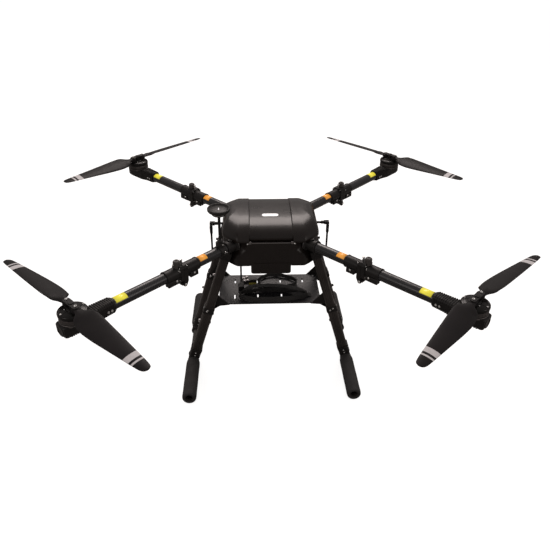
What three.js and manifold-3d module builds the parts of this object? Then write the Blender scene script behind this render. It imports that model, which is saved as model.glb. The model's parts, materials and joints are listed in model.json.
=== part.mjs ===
// Agricultural spray drone: four folding arms with two-blade folding propellers, a covered centre body,
// a landing gear with foam-sleeved skids and a payload tray.
// Millimetres, +Z up. The nose faces -Y and the origin is the centre of the tray's upper face.
import * as THREE from 'three';
import { mergeVertices } from 'three/addons/utils/BufferGeometryUtils.js';
import Module from 'manifold-3d';

const wasm = await Module();
wasm.setup();

// ---------------------------------------------------------------- driving dimensions
const GAP = 0.3; // clearance between parts that touch
const ROUND = 16; // sides of a round part
const SMALL_ROUND = 8; // sides of a thin rod or a small bore

// arms, measured outwards from the centre of the drone along the arm and upwards from the arm's axis
const ARM_Z = 226;
const MOTOR_REACH = 666;
const FOLD_REACH = 352;
const FOLD_DROP = 35; // fold pin below the arm's axis
const TUBE_R = 15;
const TUBE_WALL = 1.5;
const INNER_TUBE_START = 96;
const FLANGE_THICK = 12;
const FLANGE_WIDTH = 38;
const FLANGE_TOP = 21;
const FLANGE_BOTTOM = -24;
const SLEEVE_R = 17.5;
const INNER_SLEEVE = 46;
const OUTER_SLEEVE = 33;
const KNOB_R = 10;
const KNOB_TOP = 36;
const MOUNT_START = 566;
const MOUNT_END = 704;
const MOUNT_HALF_WIDTH = 19;
const POD_BOTTOM = -20;
const POD_TOP = 12;

// motor and propeller, upwards from the arm's axis
const MOTOR_R = 35.3;
const BELL_BOTTOM = 15;
const BELL_TOP = 38;
const BELL_WALL = 3;
const SHAFT_R = 4;
const BLADE_Z = 48;
const BLADE_THICK = 10; // height of a blade's root
const PROP_R = 304.8; // a 24 inch propeller
const PIVOT_REACH = 20;
const PIVOT_R = 3;
const ROOT_R = 11;

// body
const BODY_HALF_X = 142;
const BODY_HALF_Y = 134;
const BODY_CORNER = 60;
const SHELL = 2.5;
const SEAM_Z = 242;
const BELLY_Z = 161;
const KEEL_Z = 138;
const KEEL_HALF_X = 59;
const SOCKET_R = 22;
const SOCKET_END = 190;

// landing gear
const SKID_X = 254.5;
const SKID_Z = -219;
const SKID_R = 12.5;
const SKID_HALF = 272;
const GRIP_R = 22;
const GRIP_BACK = 101;
const GRIP_FRONT = 275;
const LEG_SIDE = 28;
const LEG_WALL = 2;
const LEG_TOP = new THREE.Vector3(129, 119, 206);
const LEG_FOOT = new THREE.Vector3(SKID_X, 80, SKID_Z);

// payload tray
const TRAY_HALF_X = 162;
const TRAY_HALF_Y = 83;
const TRAY_THICK = 2.5;
const RAIL_Y = 68;

// what stands beside the body
const MAST_REACH = 205;
const PUCK_Z = 349;
const PUCK_R = 32;
const PUCK_HEIGHT = 12;
const MAST_R = 4;
const ELBOW_X = 179;
const ELBOW_Z = 240;
const WHIP_LENGTH = 108;

// power lead, from the gland under the body down to the plug on the tray
const LEAD_R = 3;
const LEAD_PATH = [
  [-92, 42, 150.7], [-92, 42, 120], [-92, 43, 70], [-92, 42, 32], [-92, 36, 14], [-92, 26, 8.3], [-92, 16, 8.3],
];

const CORNERS = {
  front_left: { side: -1, end: -1, propeller: 134.5, lag: 2.2, spin: 1 },
  front_right: { side: 1, end: -1, propeller: 44.6, lag: -5.2, spin: -1 },
  rear_left: { side: -1, end: 1, propeller: 226.2, lag: 1.0, spin: -1 },
  rear_right: { side: 1, end: 1, propeller: 132.6, lag: 1.2, spin: 1 },
};

// ---------------------------------------------------------------- materials
function finish(color, roughness, metalness) {
  return new THREE.MeshStandardMaterial({ color, roughness, metalness });
}
const CARBON = finish(0x17171a, 0.35, 0.2);
const BLACK_METAL = finish(0x1c1b1d, 0.4, 0.8);
const BLACK_PLASTIC = finish(0x1b1716, 0.5, 0);
const SATIN_SHELL = finish(0x241e1c, 0.38, 0);
const FOAM = finish(0x121212, 0.9, 0);
const RUBBER = finish(0x161616, 0.8, 0);

// ---------------------------------------------------------------- solids and booleans
function toManifold(geometry) {
  const bare = geometry.clone();
  bare.deleteAttribute('normal');
  bare.deleteAttribute('uv');
  const welded = mergeVertices(bare, 1e-3);
  return new wasm.Manifold(new wasm.Mesh({
    numProp: 3,
    vertProperties: new Float32Array(welded.attributes.position.array),
    triVerts: new Uint32Array(welded.index.array),
  }));
}

function toGeometry(manifold) {
  const mesh = manifold.getMesh();
  const geometry = new THREE.BufferGeometry();
  geometry.setAttribute('position', new THREE.BufferAttribute(mesh.vertProperties, 3));
  geometry.setIndex(new THREE.BufferAttribute(mesh.triVerts, 1));
  return geometry;
}

function join(...geometries) {
  return toGeometry(geometries.map(toManifold).reduce((whole, next) => whole.add(next)));
}

function cut(base, ...tools) {
  return toGeometry(tools.map(toManifold).reduce((whole, tool) => whole.subtract(tool), toManifold(base)));
}

function block(x0, x1, y0, y1, z0, z1) {
  const geometry = new THREE.BoxGeometry(x1 - x0, y1 - y0, z1 - z0);
  return geometry.translate((x0 + x1) / 2, (y0 + y1) / 2, (z0 + z1) / 2);
}

// round bar along Z; its flats face the axes, so it also rests on a face
function postZ(radius, z0, z1, sides = ROUND) {
  const geometry = new THREE.CylinderGeometry(radius, radius, z1 - z0, sides, 1, false, Math.PI / sides);
  return geometry.rotateX(Math.PI / 2).translate(0, 0, (z0 + z1) / 2);
}

function barX(radius, x0, x1, sides = ROUND) {
  return postZ(radius, x0, x1, sides).rotateY(Math.PI / 2);
}

function barY(radius, y0, y1, sides = ROUND) {
  return postZ(radius, -y1, -y0, sides).rotateX(Math.PI / 2);
}

function tubeX(outer, inner, x0, x1, sides = ROUND) {
  return cut(barX(outer, x0, x1, sides), barX(inner, x0 - 1, x1 + 1, sides));
}

function tubeY(outer, inner, y0, y1, sides = ROUND) {
  return cut(barY(outer, y0, y1, sides), barY(inner, y0 - 1, y1 + 1, sides));
}

// closed skin over sections with the same number of points, listed counter-clockwise about the way they go
function loft(sections) {
  const sides = sections[0].length;
  const positions = sections.flat().flatMap((point) => point.toArray());
  const faces = [];
  for (let ring = 0; ring + 1 < sections.length; ring += 1) {
    for (let side = 0; side < sides; side += 1) {
      const next = (side + 1) % sides;
      const low = ring * sides;
      const high = low + sides;
      faces.push(low + side, low + next, high + next);
      faces.push(low + side, high + next, high + side);
    }
  }
  const last = (sections.length - 1) * sides;
  for (let side = 1; side + 1 < sides; side += 1) {
    faces.push(0, side + 1, side);
    faces.push(last, last + side, last + side + 1);
  }
  const geometry = new THREE.BufferGeometry();
  geometry.setAttribute('position', new THREE.Float32BufferAttribute(positions, 3));
  geometry.setIndex(faces);
  return geometry;
}

function roundedRing(halfX, halfY, corner, z, steps = 3) {
  const radius = Math.min(corner, halfX - 1, halfY - 1);
  const points = [];
  for (let quarter = 0; quarter < 4; quarter += 1) {
    const signX = quarter === 0 || quarter === 3 ? 1 : -1;
    const signY = quarter < 2 ? 1 : -1;
    for (let step = 0; step <= steps; step += 1) {
      const angle = (quarter + step / steps) * (Math.PI / 2);
      const x = signX * (halfX - radius) + radius * Math.cos(angle);
      const y = signY * (halfY - radius) + radius * Math.sin(angle);
      points.push(new THREE.Vector3(x, y, z));
    }
  }
  return points;
}

const drone = new THREE.Group();

function part(name, geometry, material, parent = drone) {
  const mesh = new THREE.Mesh(geometry, material);
  mesh.name = name;
  parent.add(mesh);
  return mesh;
}

// ---------------------------------------------------------------- arms
// Along an arm +X points outwards, and the arm's axis is at z = 0.
function foldKnuckle(x0, x1, y0, y1) {
  const pin = barY(6, y0, y1, SMALL_ROUND).translate(FOLD_REACH, 0, -FOLD_DROP);
  const web = block(x0, x1, y0, y1, -FOLD_DROP, FLANGE_BOTTOM + 2);
  return join(pin, web);
}

function flange(x0, x1) {
  const half = FLANGE_WIDTH / 2;
  const chamfer = 5;
  const outline = new THREE.Shape([
    new THREE.Vector2(-half, FLANGE_BOTTOM), new THREE.Vector2(half, FLANGE_BOTTOM),
    new THREE.Vector2(half, FLANGE_TOP - chamfer), new THREE.Vector2(half - chamfer, FLANGE_TOP),
    new THREE.Vector2(chamfer - half, FLANGE_TOP), new THREE.Vector2(-half, FLANGE_TOP - chamfer),
  ]);
  const plate = new THREE.ExtrudeGeometry(outline, { depth: x1 - x0, bevelEnabled: false });
  return plate.rotateX(Math.PI / 2).rotateZ(Math.PI / 2).translate(x0, 0, 0);
}

// the pinch lug under a clamp sleeve
function clampLug(x0, x1) {
  return block(x0, x1, -7, 7, -SLEEVE_R - 7.5, -SLEEVE_R + 3);
}

function innerJoint() {
  const face = FOLD_REACH - GAP / 2;
  const back = face - FLANGE_THICK;
  const sleeve = barX(SLEEVE_R, back - INNER_SLEEVE, face - 1);
  const knuckles = [-1, 1].map((side) => {
    const edges = [side * 9.7, side * 19].sort((a, b) => a - b);
    return foldKnuckle(back, face, ...edges);
  });
  const lug = clampLug(back - INNER_SLEEVE + 2, back - INNER_SLEEVE + 22);
  const solid = join(flange(back, face), sleeve, lug, ...knuckles);
  const bore = barX(TUBE_R + GAP, back - INNER_SLEEVE - 1, back + 4);
  const pinHole = barY(2.5, -40, 40, SMALL_ROUND).translate(FOLD_REACH, 0, -FOLD_DROP);
  return cut(solid, bore, pinHole);
}

function outerJoint() {
  const face = FOLD_REACH + GAP / 2;
  const back = face + FLANGE_THICK;
  const sleeve = barX(SLEEVE_R, face + 1, back + OUTER_SLEEVE);
  const knuckle = foldKnuckle(face, back, -9.4, 9.4);
  const pin = barY(2.2, -21, 21, SMALL_ROUND).translate(FOLD_REACH, 0, -FOLD_DROP);
  const knob = postZ(KNOB_R, FLANGE_TOP - 5, KNOB_TOP, 12).translate(face + KNOB_R, 0, 0);
  const solid = join(flange(face, back), sleeve, clampLug(back + 3, back + 32), knuckle, pin, knob);
  return cut(solid, barX(TUBE_R + GAP, back - 4, back + OUTER_SLEEVE + 1));
}

function motorMount() {
  const fins = 5;
  const pitch = 11;
  const finThick = 6;
  const [floor, base, tip] = [-18, 16.8, 18.5];
  const end = MOUNT_START + (fins - 1) * pitch + finThick;
  const outline = [
    new THREE.Vector2(MOUNT_START, floor), new THREE.Vector2(MOTOR_REACH, floor),
    new THREE.Vector2(MOTOR_REACH, POD_TOP), new THREE.Vector2(end + 4, POD_TOP), new THREE.Vector2(end, base),
  ];
  for (let fin = fins - 1; fin >= 0; fin -= 1) {
    const x = MOUNT_START + fin * pitch;
    outline.push(new THREE.Vector2(x + finThick, tip), new THREE.Vector2(x, tip));
    if (fin > 0) outline.push(new THREE.Vector2(x, base), new THREE.Vector2(x - pitch + finThick, base));
  }
  const depth = 2 * MOUNT_HALF_WIDTH;
  const clamp = new THREE.ExtrudeGeometry(new THREE.Shape(outline), { depth, bevelEnabled: false });
  clamp.rotateX(Math.PI / 2).translate(0, MOUNT_HALF_WIDTH, 0);
  const podWidth = MOUNT_HALF_WIDTH + 3;
  const pod = block(MOTOR_REACH - 36, MOUNT_END, -podWidth, podWidth, POD_BOTTOM, POD_TOP);
  const neck = postZ(12, POD_TOP - 1, BELL_BOTTOM + 1).translate(MOTOR_REACH, 0, 0);
  const stator = postZ(MOTOR_R - BELL_WALL - 1.3, BELL_BOTTOM + 1, BELL_TOP - BELL_WALL - 2);
  stator.translate(MOTOR_REACH, 0, 0);
  const bore = barX(TUBE_R + GAP, MOUNT_START - 1, MOTOR_REACH - 24);
  const shaftHole = postZ(SHAFT_R + 0.5, POD_BOTTOM + 6, BELL_TOP).translate(MOTOR_REACH, 0, 0);
  return cut(join(clamp, pod, neck, stator), bore, shaftHole);
}

function rotor() {
  const bell = cut(
    postZ(MOTOR_R, BELL_BOTTOM, BELL_TOP),
    postZ(MOTOR_R - BELL_WALL, BELL_BOTTOM - 1, BELL_TOP - BELL_WALL),
  );
  const shaft = postZ(SHAFT_R, POD_BOTTOM + 8, BELL_TOP - 1, SMALL_ROUND);
  const half = BLADE_THICK / 2;
  const clampPlate = (z0, z1) => {
    const bar = block(-PIVOT_REACH, PIVOT_REACH, -10, 10, z0, z1);
    const ends = [-1, 1].map((side) => postZ(10, z0, z1, 12).translate(side * PIVOT_REACH, 0, 0));
    return join(bar, ...ends);
  };
  const lower = clampPlate(BELL_TOP - 1, BLADE_Z - half - GAP);
  const upper = clampPlate(BLADE_Z + half + GAP, BLADE_Z + half + 3);
  const pillar = postZ(6.5, BELL_TOP - 1, BLADE_Z + half + 1, SMALL_ROUND);
  const bolts = [-1, 1].map((side) => {
    const bolt = postZ(PIVOT_R, BELL_TOP - 1, BLADE_Z + half + 6, SMALL_ROUND);
    return bolt.translate(side * PIVOT_REACH, 0, 0);
  });
  return join(bell, shaft, lower, upper, pillar, ...bolts);
}

// chord and thickness of a blade, by fraction of its length
const BLADE_STATIONS = [
  [0.0, 18, 8], [0.06, 22, 8], [0.13, 50, 7], [0.26, 58, 5.5],
  [0.55, 47, 4], [0.9, 27, 2.6], [0.98, 17, 2.2], [1.0, 7, 1.8],
];

function blade(spin) {
  const length = PROP_R - PIVOT_REACH;
  const sides = 6;
  const sections = BLADE_STATIONS.map(([along, chord, thick]) => {
    const pitch = spin * THREE.MathUtils.degToRad(along < 0.1 ? 0 : 17 - 9 * along);
    const points = [];
    for (let side = 0; side < sides; side += 1) {
      const angle = (side / sides) * 2 * Math.PI;
      const point = new THREE.Vector3(0, (chord / 2) * Math.cos(angle), (thick / 2) * Math.sin(angle));
      points.push(point.applyAxisAngle(new THREE.Vector3(1, 0, 0), pitch).setX(along * length));
    }
    return points;
  });
  const root = postZ(ROOT_R, -BLADE_THICK / 2, BLADE_THICK / 2, 12);
  const bore = postZ(PIVOT_R + GAP, -20, 20, SMALL_ROUND);
  return cut(join(loft(sections), root), bore);
}

function addArm(corner, { side, end, propeller, lag, spin }) {
  const azimuth = Math.atan2(end, side);
  const arm = new THREE.Group();
  arm.position.z = ARM_Z;
  arm.rotation.z = azimuth;
  drone.add(arm);
  const innerEnd = FOLD_REACH - FLANGE_THICK + 2;
  const outerStart = FOLD_REACH + FLANGE_THICK - 2;
  part(`${corner}_inner_tube`, tubeX(TUBE_R, TUBE_R - TUBE_WALL, INNER_TUBE_START, innerEnd), CARBON, arm);
  part(`${corner}_inner_joint`, innerJoint(), BLACK_METAL, arm);
  part(`${corner}_outer_joint`, outerJoint(), BLACK_METAL, arm);
  const tubeEnd = MOTOR_REACH - 26;
  part(`${corner}_outer_tube`, tubeX(TUBE_R, TUBE_R - TUBE_WALL, outerStart, tubeEnd), CARBON, arm);
  part(`${corner}_motor_mount`, motorMount(), BLACK_METAL, arm);

  const head = new THREE.Group();
  head.position.set(MOTOR_REACH, 0, 0);
  head.rotation.z = THREE.MathUtils.degToRad(propeller) - azimuth;
  arm.add(head);
  part(`${corner}_rotor`, rotor(), BLACK_METAL, head);
  const swing = THREE.MathUtils.degToRad(lag);
  const placed = { a: [PIVOT_REACH, swing], b: [-PIVOT_REACH, Math.PI - swing] };
  for (const [letter, [x, turn]] of Object.entries(placed)) {
    const mesh = part(`${corner}_blade_${letter}`, blade(spin), BLACK_PLASTIC, head);
    mesh.position.set(x, 0, BLADE_Z);
    mesh.rotation.z = turn;
  }
}

// ---------------------------------------------------------------- body
function armCutters(radius, from) {
  return Object.values(CORNERS).map(({ side, end }) => {
    const bar = barX(radius, from, SOCKET_END + 60);
    return bar.rotateZ(Math.atan2(end, side)).translate(0, 0, ARM_Z);
  });
}

// [height above the seam, share of the width, share of the depth] up the barrel of the canopy
const DOME = [
  [0, 1, 1], [8, 1, 0.99], [18, 0.985, 0.95], [28, 0.95, 0.86], [36, 0.9, 0.74], [42, 0.83, 0.58], [46, 0.74, 0.4], [48, 0.64, 0.2],
];

function dome(inset, lift) {
  const rings = DOME.map(([height, width, depth]) => {
    const corner = (BODY_CORNER - inset) * Math.min(width, depth);
    const z = SEAM_Z + GAP + (height ? height - inset : lift);
    return roundedRing((BODY_HALF_X - inset) * width, (BODY_HALF_Y - inset) * depth, corner, z);
  });
  return loft(rings);
}

function antennaHoles() {
  return barX(4.8, -BODY_HALF_X - 5, BODY_HALF_X + 5, SMALL_ROUND).translate(0, 0, ELBOW_Z);
}

function canopy() {
  const shell = cut(dome(0, 0), dome(SHELL, -1));
  return cut(shell, antennaHoles(), ...armCutters(SOCKET_R + 1, 0));
}

function bowl(inset, open) {
  const top = SEAM_Z - GAP + (open ? 1 : 0);
  const rings = [[BELLY_Z + inset, 0.93], [BELLY_Z + inset + 5, 0.98], [BELLY_Z + 16, 1.0], [top, 1.0]];
  return loft(rings.map(([z, share]) => {
    const corner = (BODY_CORNER - inset) * share;
    return roundedRing((BODY_HALF_X - inset) * share, (BODY_HALF_Y - inset) * share, corner, z);
  }));
}

function lowerShell() {
  const halfY = BODY_HALF_Y - 1;
  const keel = loft([
    roundedRing(KEEL_HALF_X - 3, halfY - 4, 10, KEEL_Z),
    roundedRing(KEEL_HALF_X, halfY, 12, KEEL_Z + 5),
    roundedRing(KEEL_HALF_X, halfY, 12, BELLY_Z + 12),
  ]);
  const keelRoom = loft([
    roundedRing(KEEL_HALF_X - 3 - SHELL, halfY - 4 - SHELL, 9, KEEL_Z + SHELL),
    roundedRing(KEEL_HALF_X - SHELL, halfY - SHELL, 10, KEEL_Z + 5 + SHELL),
    roundedRing(KEEL_HALF_X - SHELL, halfY - SHELL, 10, BELLY_Z + 14),
  ]);
  const [x, y] = LEAD_PATH[0];
  const gland = postZ(8, BELLY_Z - 10, BELLY_Z + 1, SMALL_ROUND).translate(x, y, 0);
  const shell = cut(join(bowl(0, false), keel, gland), bowl(SHELL, true), keelRoom);
  const legRooms = Object.values(CORNERS).map(({ side, end }) => {
    return legPiece(squareBar(LEG_SIDE / 2 + 4.5, -40, 60), side, end);
  });
  return cut(shell, antennaHoles(), ...legRooms, ...armCutters(SOCKET_R + 1, 0));
}

function legFrame(side, end) {
  const top = LEG_TOP.clone().multiply(new THREE.Vector3(side, end, 1));
  const foot = LEG_FOOT.clone().multiply(new THREE.Vector3(side, end, 1));
  const down = foot.clone().sub(top).normalize();
  const across = new THREE.Vector3(0, 1, 0).cross(down).normalize();
  const forward = down.clone().cross(across);
  const turn = new THREE.Matrix4().makeBasis(across, forward, down);
  return turn.setPosition(top);
}

// along a leg +Z points down the leg from its top
function legPiece(geometry, side, end) {
  return geometry.applyMatrix4(legFrame(side, end));
}

function squareBar(half, z0, z1) {
  return block(-half, half, -half, half, z0, z1);
}

function centreFrame() {
  const plates = [[ARM_Z - SOCKET_R, 3], [ARM_Z + SOCKET_R - 3, 3]].map(([z, thick]) => {
    const ring = roundedRing(104, 112, 50, z);
    return loft([ring, ring.map((point) => point.clone().setZ(z + thick))]);
  });
  const sockets = Object.values(CORNERS).map(({ side, end }) => {
    const socket = barX(SOCKET_R, INNER_TUBE_START - 10, SOCKET_END);
    return socket.rotateZ(Math.atan2(end, side)).translate(0, 0, ARM_Z);
  });
  const cups = Object.values(CORNERS).map(({ side, end }) => {
    return legPiece(squareBar(LEG_SIDE / 2 + 3, -8, 22), side, end);
  });
  const cupRooms = Object.values(CORNERS).map(({ side, end }) => {
    return legPiece(squareBar(LEG_SIDE / 2 + GAP, 4, 40), side, end);
  });
  const lightening = block(-45, 45, -55, 55, ARM_Z - SOCKET_R - 1, ARM_Z - SOCKET_R + 4);
  const solid = join(...plates, ...sockets, ...cups);
  return cut(solid, ...cupRooms, lightening, ...armCutters(TUBE_R + GAP, INNER_TUBE_START - 4));
}

// the mast stands in a saddle on the front left arm, just outside its socket
function onFrontLeftArm(geometry) {
  return geometry.translate(MAST_REACH, 0, 0).rotateZ(-0.75 * Math.PI).translate(0, 0, ARM_Z);
}

function gpsMast() {
  const top = PUCK_Z - ARM_Z;
  const rod = postZ(MAST_R, 20, top - 4, SMALL_ROUND);
  const seat = postZ(19, top - 9, top - 3);
  const neck = postZ(8, top - 4, top - GAP);
  const saddle = block(-11, 11, -17, 17, 3, 21);
  const boss = postZ(9, 20, 27, SMALL_ROUND);
  return onFrontLeftArm(cut(join(rod, seat, neck, saddle, boss), barX(TUBE_R + GAP, -20, 20)));
}

function gpsPuck() {
  const rim = 2;
  const profile = [
    [0, 0], [PUCK_R - rim, 0], [PUCK_R, rim], [PUCK_R, PUCK_HEIGHT - rim], [PUCK_R - rim, PUCK_HEIGHT],
    [PUCK_R - 5, PUCK_HEIGHT], [PUCK_R - 6, PUCK_HEIGHT - 1], [0, PUCK_HEIGHT - 1],
  ].map(([x, y]) => new THREE.Vector2(x, y));
  const puck = new THREE.LatheGeometry(profile, 20).rotateX(Math.PI / 2);
  return onFrontLeftArm(puck.translate(0, 0, PUCK_Z - ARM_Z));
}

function antennaBar() {
  const bar = barX(3.5, -ELBOW_X + 8, ELBOW_X - 8, SMALL_ROUND);
  const ears = [-1, 1].flatMap((side) => [-1, 1].map((face) => {
    const x = side * (ELBOW_X - 3);
    const y = face * 5.25;
    return block(x - 7, x + 7, y - 1.5, y + 1.5, -4.5, 4.5);
  }));
  const heels = [-1, 1].map((side) => {
    const x = side * (ELBOW_X - 10);
    return block(x - 2.5, x + 2.5, -6.5, 6.5, -4.5, 4.5);
  });
  return join(bar, ...ears, ...heels).translate(0, 0, ELBOW_Z);
}

// the whip swings about the elbow, outwards and up
function antennaWhip(side) {
  const eye = barY(3.6, -3.4, 3.4, SMALL_ROUND);
  const neck = block(-2.5, 2.5, -2.5, 2.5, -8, 0);
  const sleeve = postZ(4.5, -34, -7, SMALL_ROUND);
  const whip = postZ(2, -WHIP_LENGTH, -33, SMALL_ROUND);
  return join(eye, neck, sleeve, whip).translate(side * ELBOW_X, 0, ELBOW_Z);
}

// ---------------------------------------------------------------- landing gear and tray
function leg(side, end) {
  const length = LEG_TOP.distanceTo(LEG_FOOT) - SKID_R - 4;
  const tube = cut(
    squareBar(LEG_SIDE / 2, 5, length),
    squareBar(LEG_SIDE / 2 - LEG_WALL, 4, length + 1),
  );
  return legPiece(tube, side, end);
}

function teeJoint(side, end) {
  const length = LEG_TOP.distanceTo(LEG_FOOT);
  const stub = legPiece(squareBar(LEG_SIDE / 2 + 4, length - 48, length), side, end);
  const room = legPiece(squareBar(LEG_SIDE / 2 + GAP, length - 50, length - SKID_R - 3.6), side, end);
  const y = end * LEG_FOOT.y;
  const sleeve = barY(SKID_R + 5, y - 20, y + 20).translate(side * SKID_X, 0, SKID_Z);
  const bore = barY(SKID_R + GAP, y - 40, y + 40).translate(side * SKID_X, 0, SKID_Z);
  return cut(join(stub, sleeve), room, bore);
}

function skidTube(side) {
  return tubeY(SKID_R, SKID_R - 1.6, -SKID_HALF, SKID_HALF).translate(side * SKID_X, 0, SKID_Z);
}

function foamGrip(side, end) {
  const [y0, y1] = [end * GRIP_FRONT, end * GRIP_BACK].sort((a, b) => a - b);
  return tubeY(GRIP_R, SKID_R + GAP, y0, y1).translate(side * SKID_X, 0, SKID_Z);
}

function slot(x, y, halfX, halfY) {
  return block(x - halfX, x + halfX, y - halfY, y + halfY, -10, 10);
}

function payloadTray() {
  const ring = roundedRing(TRAY_HALF_X, TRAY_HALF_Y, 8, -TRAY_THICK, 2);
  const plate = loft([ring, ring.map((point) => point.clone().setZ(0))]);
  const slots = [-112, -38, 38, 112].flatMap((x) => [-45, 45].map((y) => slot(x, y, 2.5, 9)));
  return cut(plate, ...slots);
}

// a flat rail under the tray, with a clamp around the leg at each end
function trayRail(end) {
  const top = -TRAY_THICK - GAP;
  const y = end * RAIL_Y;
  const strip = block(-178, 178, y - 11, y + 11, top - 5, top);
  const drop = LEG_TOP.z - top;
  const share = drop / (LEG_TOP.z - LEG_FOOT.z);
  const along = LEG_TOP.distanceTo(LEG_FOOT) * share;
  const outer = LEG_SIDE / 2 + 5;
  const lugs = [-1, 1].map((side) => {
    const edges = [side * 168, side * 196].sort((a, b) => a - b);
    const [y0, y1] = [end * (RAIL_Y - 11), end * 98].sort((a, b) => a - b);
    return block(...edges, y0, y1, top - 14, top);
  });
  const collars = [-1, 1].map((side) => legPiece(squareBar(outer, along - 10, along + 18), side, end));
  const rooms = [-1, 1].map((side) => {
    return legPiece(squareBar(LEG_SIDE / 2 + GAP, along - 60, along + 60), side, end);
  });
  return cut(join(strip, ...lugs, ...collars), ...rooms);
}

// ---------------------------------------------------------------- electronics and lead
function flightController() {
  const floor = ARM_Z + SOCKET_R + GAP;
  const box = block(-36, 36, -27, 27, floor, floor + 16);
  const lid = block(-30, 30, -21, 21, floor + 15, floor + 20);
  return join(box, lid);
}

function powerLead() {
  const curve = new THREE.CatmullRomCurve3(LEAD_PATH.map((point) => new THREE.Vector3(...point)));
  const section = new THREE.Shape();
  section.absarc(0, 0, LEAD_R, 0, 2 * Math.PI);
  const options = { steps: 12, extrudePath: curve, curveSegments: 4 };
  return new THREE.ExtrudeGeometry(section, options);
}

function powerPlug() {
  const [x, y, z] = LEAD_PATH.at(-1);
  const front = y - 2 * GAP;
  const body = block(x - 9, x + 9, front - 26, front - 5, GAP, z + 6);
  const collar = block(x - 5, x + 5, front - 6, front, z - 4, z + 4);
  return join(body, collar);
}

// ---------------------------------------------------------------- assembly
for (const [corner, layout] of Object.entries(CORNERS)) {
  addArm(corner, layout);
}
part('centre_frame', centreFrame(), CARBON);
part('canopy', canopy(), SATIN_SHELL);
part('lower_shell', lowerShell(), SATIN_SHELL);
part('flight_controller', flightController(), BLACK_PLASTIC);
part('gps_mast', gpsMast(), BLACK_PLASTIC);
part('gps_puck', gpsPuck(), BLACK_PLASTIC);
part('antenna_bar', antennaBar(), BLACK_PLASTIC);
part('antenna_whip_left', antennaWhip(-1), RUBBER);
part('antenna_whip_right', antennaWhip(1), RUBBER);
for (const [corner, { side, end }] of Object.entries(CORNERS)) {
  part(`${corner}_leg`, leg(side, end), CARBON);
  part(`${corner}_tee_joint`, teeJoint(side, end), BLACK_PLASTIC);
  part(`${corner}_foam_grip`, foamGrip(side, end), FOAM);
}
part('left_skid_tube', skidTube(-1), CARBON);
part('right_skid_tube', skidTube(1), CARBON);
part('payload_tray', payloadTray(), CARBON);
part('front_tray_rail', trayRail(-1), BLACK_METAL);
part('rear_tray_rail', trayRail(1), BLACK_METAL);
part('power_lead', powerLead(), RUBBER);
part('power_plug', powerPlug(), BLACK_PLASTIC);

export default drone;
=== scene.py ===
"""Agricultural spray drone: the looks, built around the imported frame.

Lengths in this file are millimetres in the frame's axes, and become metres when a mesh is made.
"""

import json
import math

import bmesh
import bpy
from mathutils import Matrix, Vector


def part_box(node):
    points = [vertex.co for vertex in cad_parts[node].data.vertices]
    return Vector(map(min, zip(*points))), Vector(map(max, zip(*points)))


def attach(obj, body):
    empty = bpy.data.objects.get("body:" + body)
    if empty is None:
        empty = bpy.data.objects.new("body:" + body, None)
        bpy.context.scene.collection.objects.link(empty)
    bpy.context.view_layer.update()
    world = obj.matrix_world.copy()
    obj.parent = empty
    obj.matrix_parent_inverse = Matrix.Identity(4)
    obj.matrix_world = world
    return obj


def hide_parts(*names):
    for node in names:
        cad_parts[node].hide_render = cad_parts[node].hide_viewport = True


MM = 0.001
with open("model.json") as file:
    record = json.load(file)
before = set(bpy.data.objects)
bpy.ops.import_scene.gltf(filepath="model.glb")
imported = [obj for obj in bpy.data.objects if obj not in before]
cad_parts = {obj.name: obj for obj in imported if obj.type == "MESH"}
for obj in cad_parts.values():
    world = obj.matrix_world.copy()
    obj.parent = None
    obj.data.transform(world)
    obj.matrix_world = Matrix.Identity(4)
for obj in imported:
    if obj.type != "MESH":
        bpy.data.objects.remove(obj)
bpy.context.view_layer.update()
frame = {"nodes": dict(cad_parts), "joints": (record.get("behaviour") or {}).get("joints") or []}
JOINTS = {joint["name"]: joint for joint in frame["joints"]}
CORNERS = {"front_left": (-1, -1), "front_right": (1, -1), "rear_left": (-1, 1), "rear_right": (1, 1)}


def node_box(node):
    low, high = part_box(node)
    return low / MM, high / MM


def joint_place(name):
    return Vector(JOINTS[name]["pos_m"]) / MM


# ------------------------------------------------------------------ dimensions
ARM_Z = sum(corner.z for corner in node_box("front_left_inner_tube")) / 2
FOLD = joint_place("front_right_arm_fold")
FOLD_REACH = FOLD.xy.length
FOLD_DROP = ARM_Z - FOLD.z
INNER_SLEEVE = 46
OUTER_SLEEVE = 42
INNER_LUG = (304, 330)
OUTER_LUG = (371, 405)
MOTOR_REACH = joint_place("front_right_rotor_spin").xy.length
PIVOT_REACH = (joint_place("front_right_blade_a_fold") - joint_place("front_right_rotor_spin")).xy.length
GROUND_Z = node_box("front_left_foam_grip")[0].z
TUBE_R = 15
TUBE_WALL = 1.5
FLANGE_THICK = 12
SLEEVE_R = 17.5
SOCKET_END = 187
ORANGE_LABEL = (264, 291)
YELLOW_LABEL = (526, 560)
PROP_R = 304.8
SEAM_Z = node_box("canopy")[0].z
BELLY_Z = 161
KEEL_Z = node_box("lower_shell")[0].z
KEEL_HALF_X = 59
KEEL_HALF_Y = 133
BODY_HALF_X = node_box("lower_shell")[1].x
BODY_HALF_Y = node_box("lower_shell")[1].y
SKID_X = 254.5
SKID_Z = -219
SKID_R = 12.5
GRIP_R = 22
LEG_TOP = Vector((129, 119, 206))
LEG_FOOT = Vector((SKID_X, 80, SKID_Z))
LEG_SIDE = 28
TRAY_LOW, TRAY_HIGH = node_box("payload_tray")

# the power lead's route, the same points as its CAD tube
LEAD_R = 3
LEAD_PATH = [
    (-92, 42, 150.7), (-92, 42, 120), (-92, 43, 70), (-92, 42, 32),
    (-92, 36, 14), (-92, 26, 8.3), (-92, 16, 8.3),
]


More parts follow.
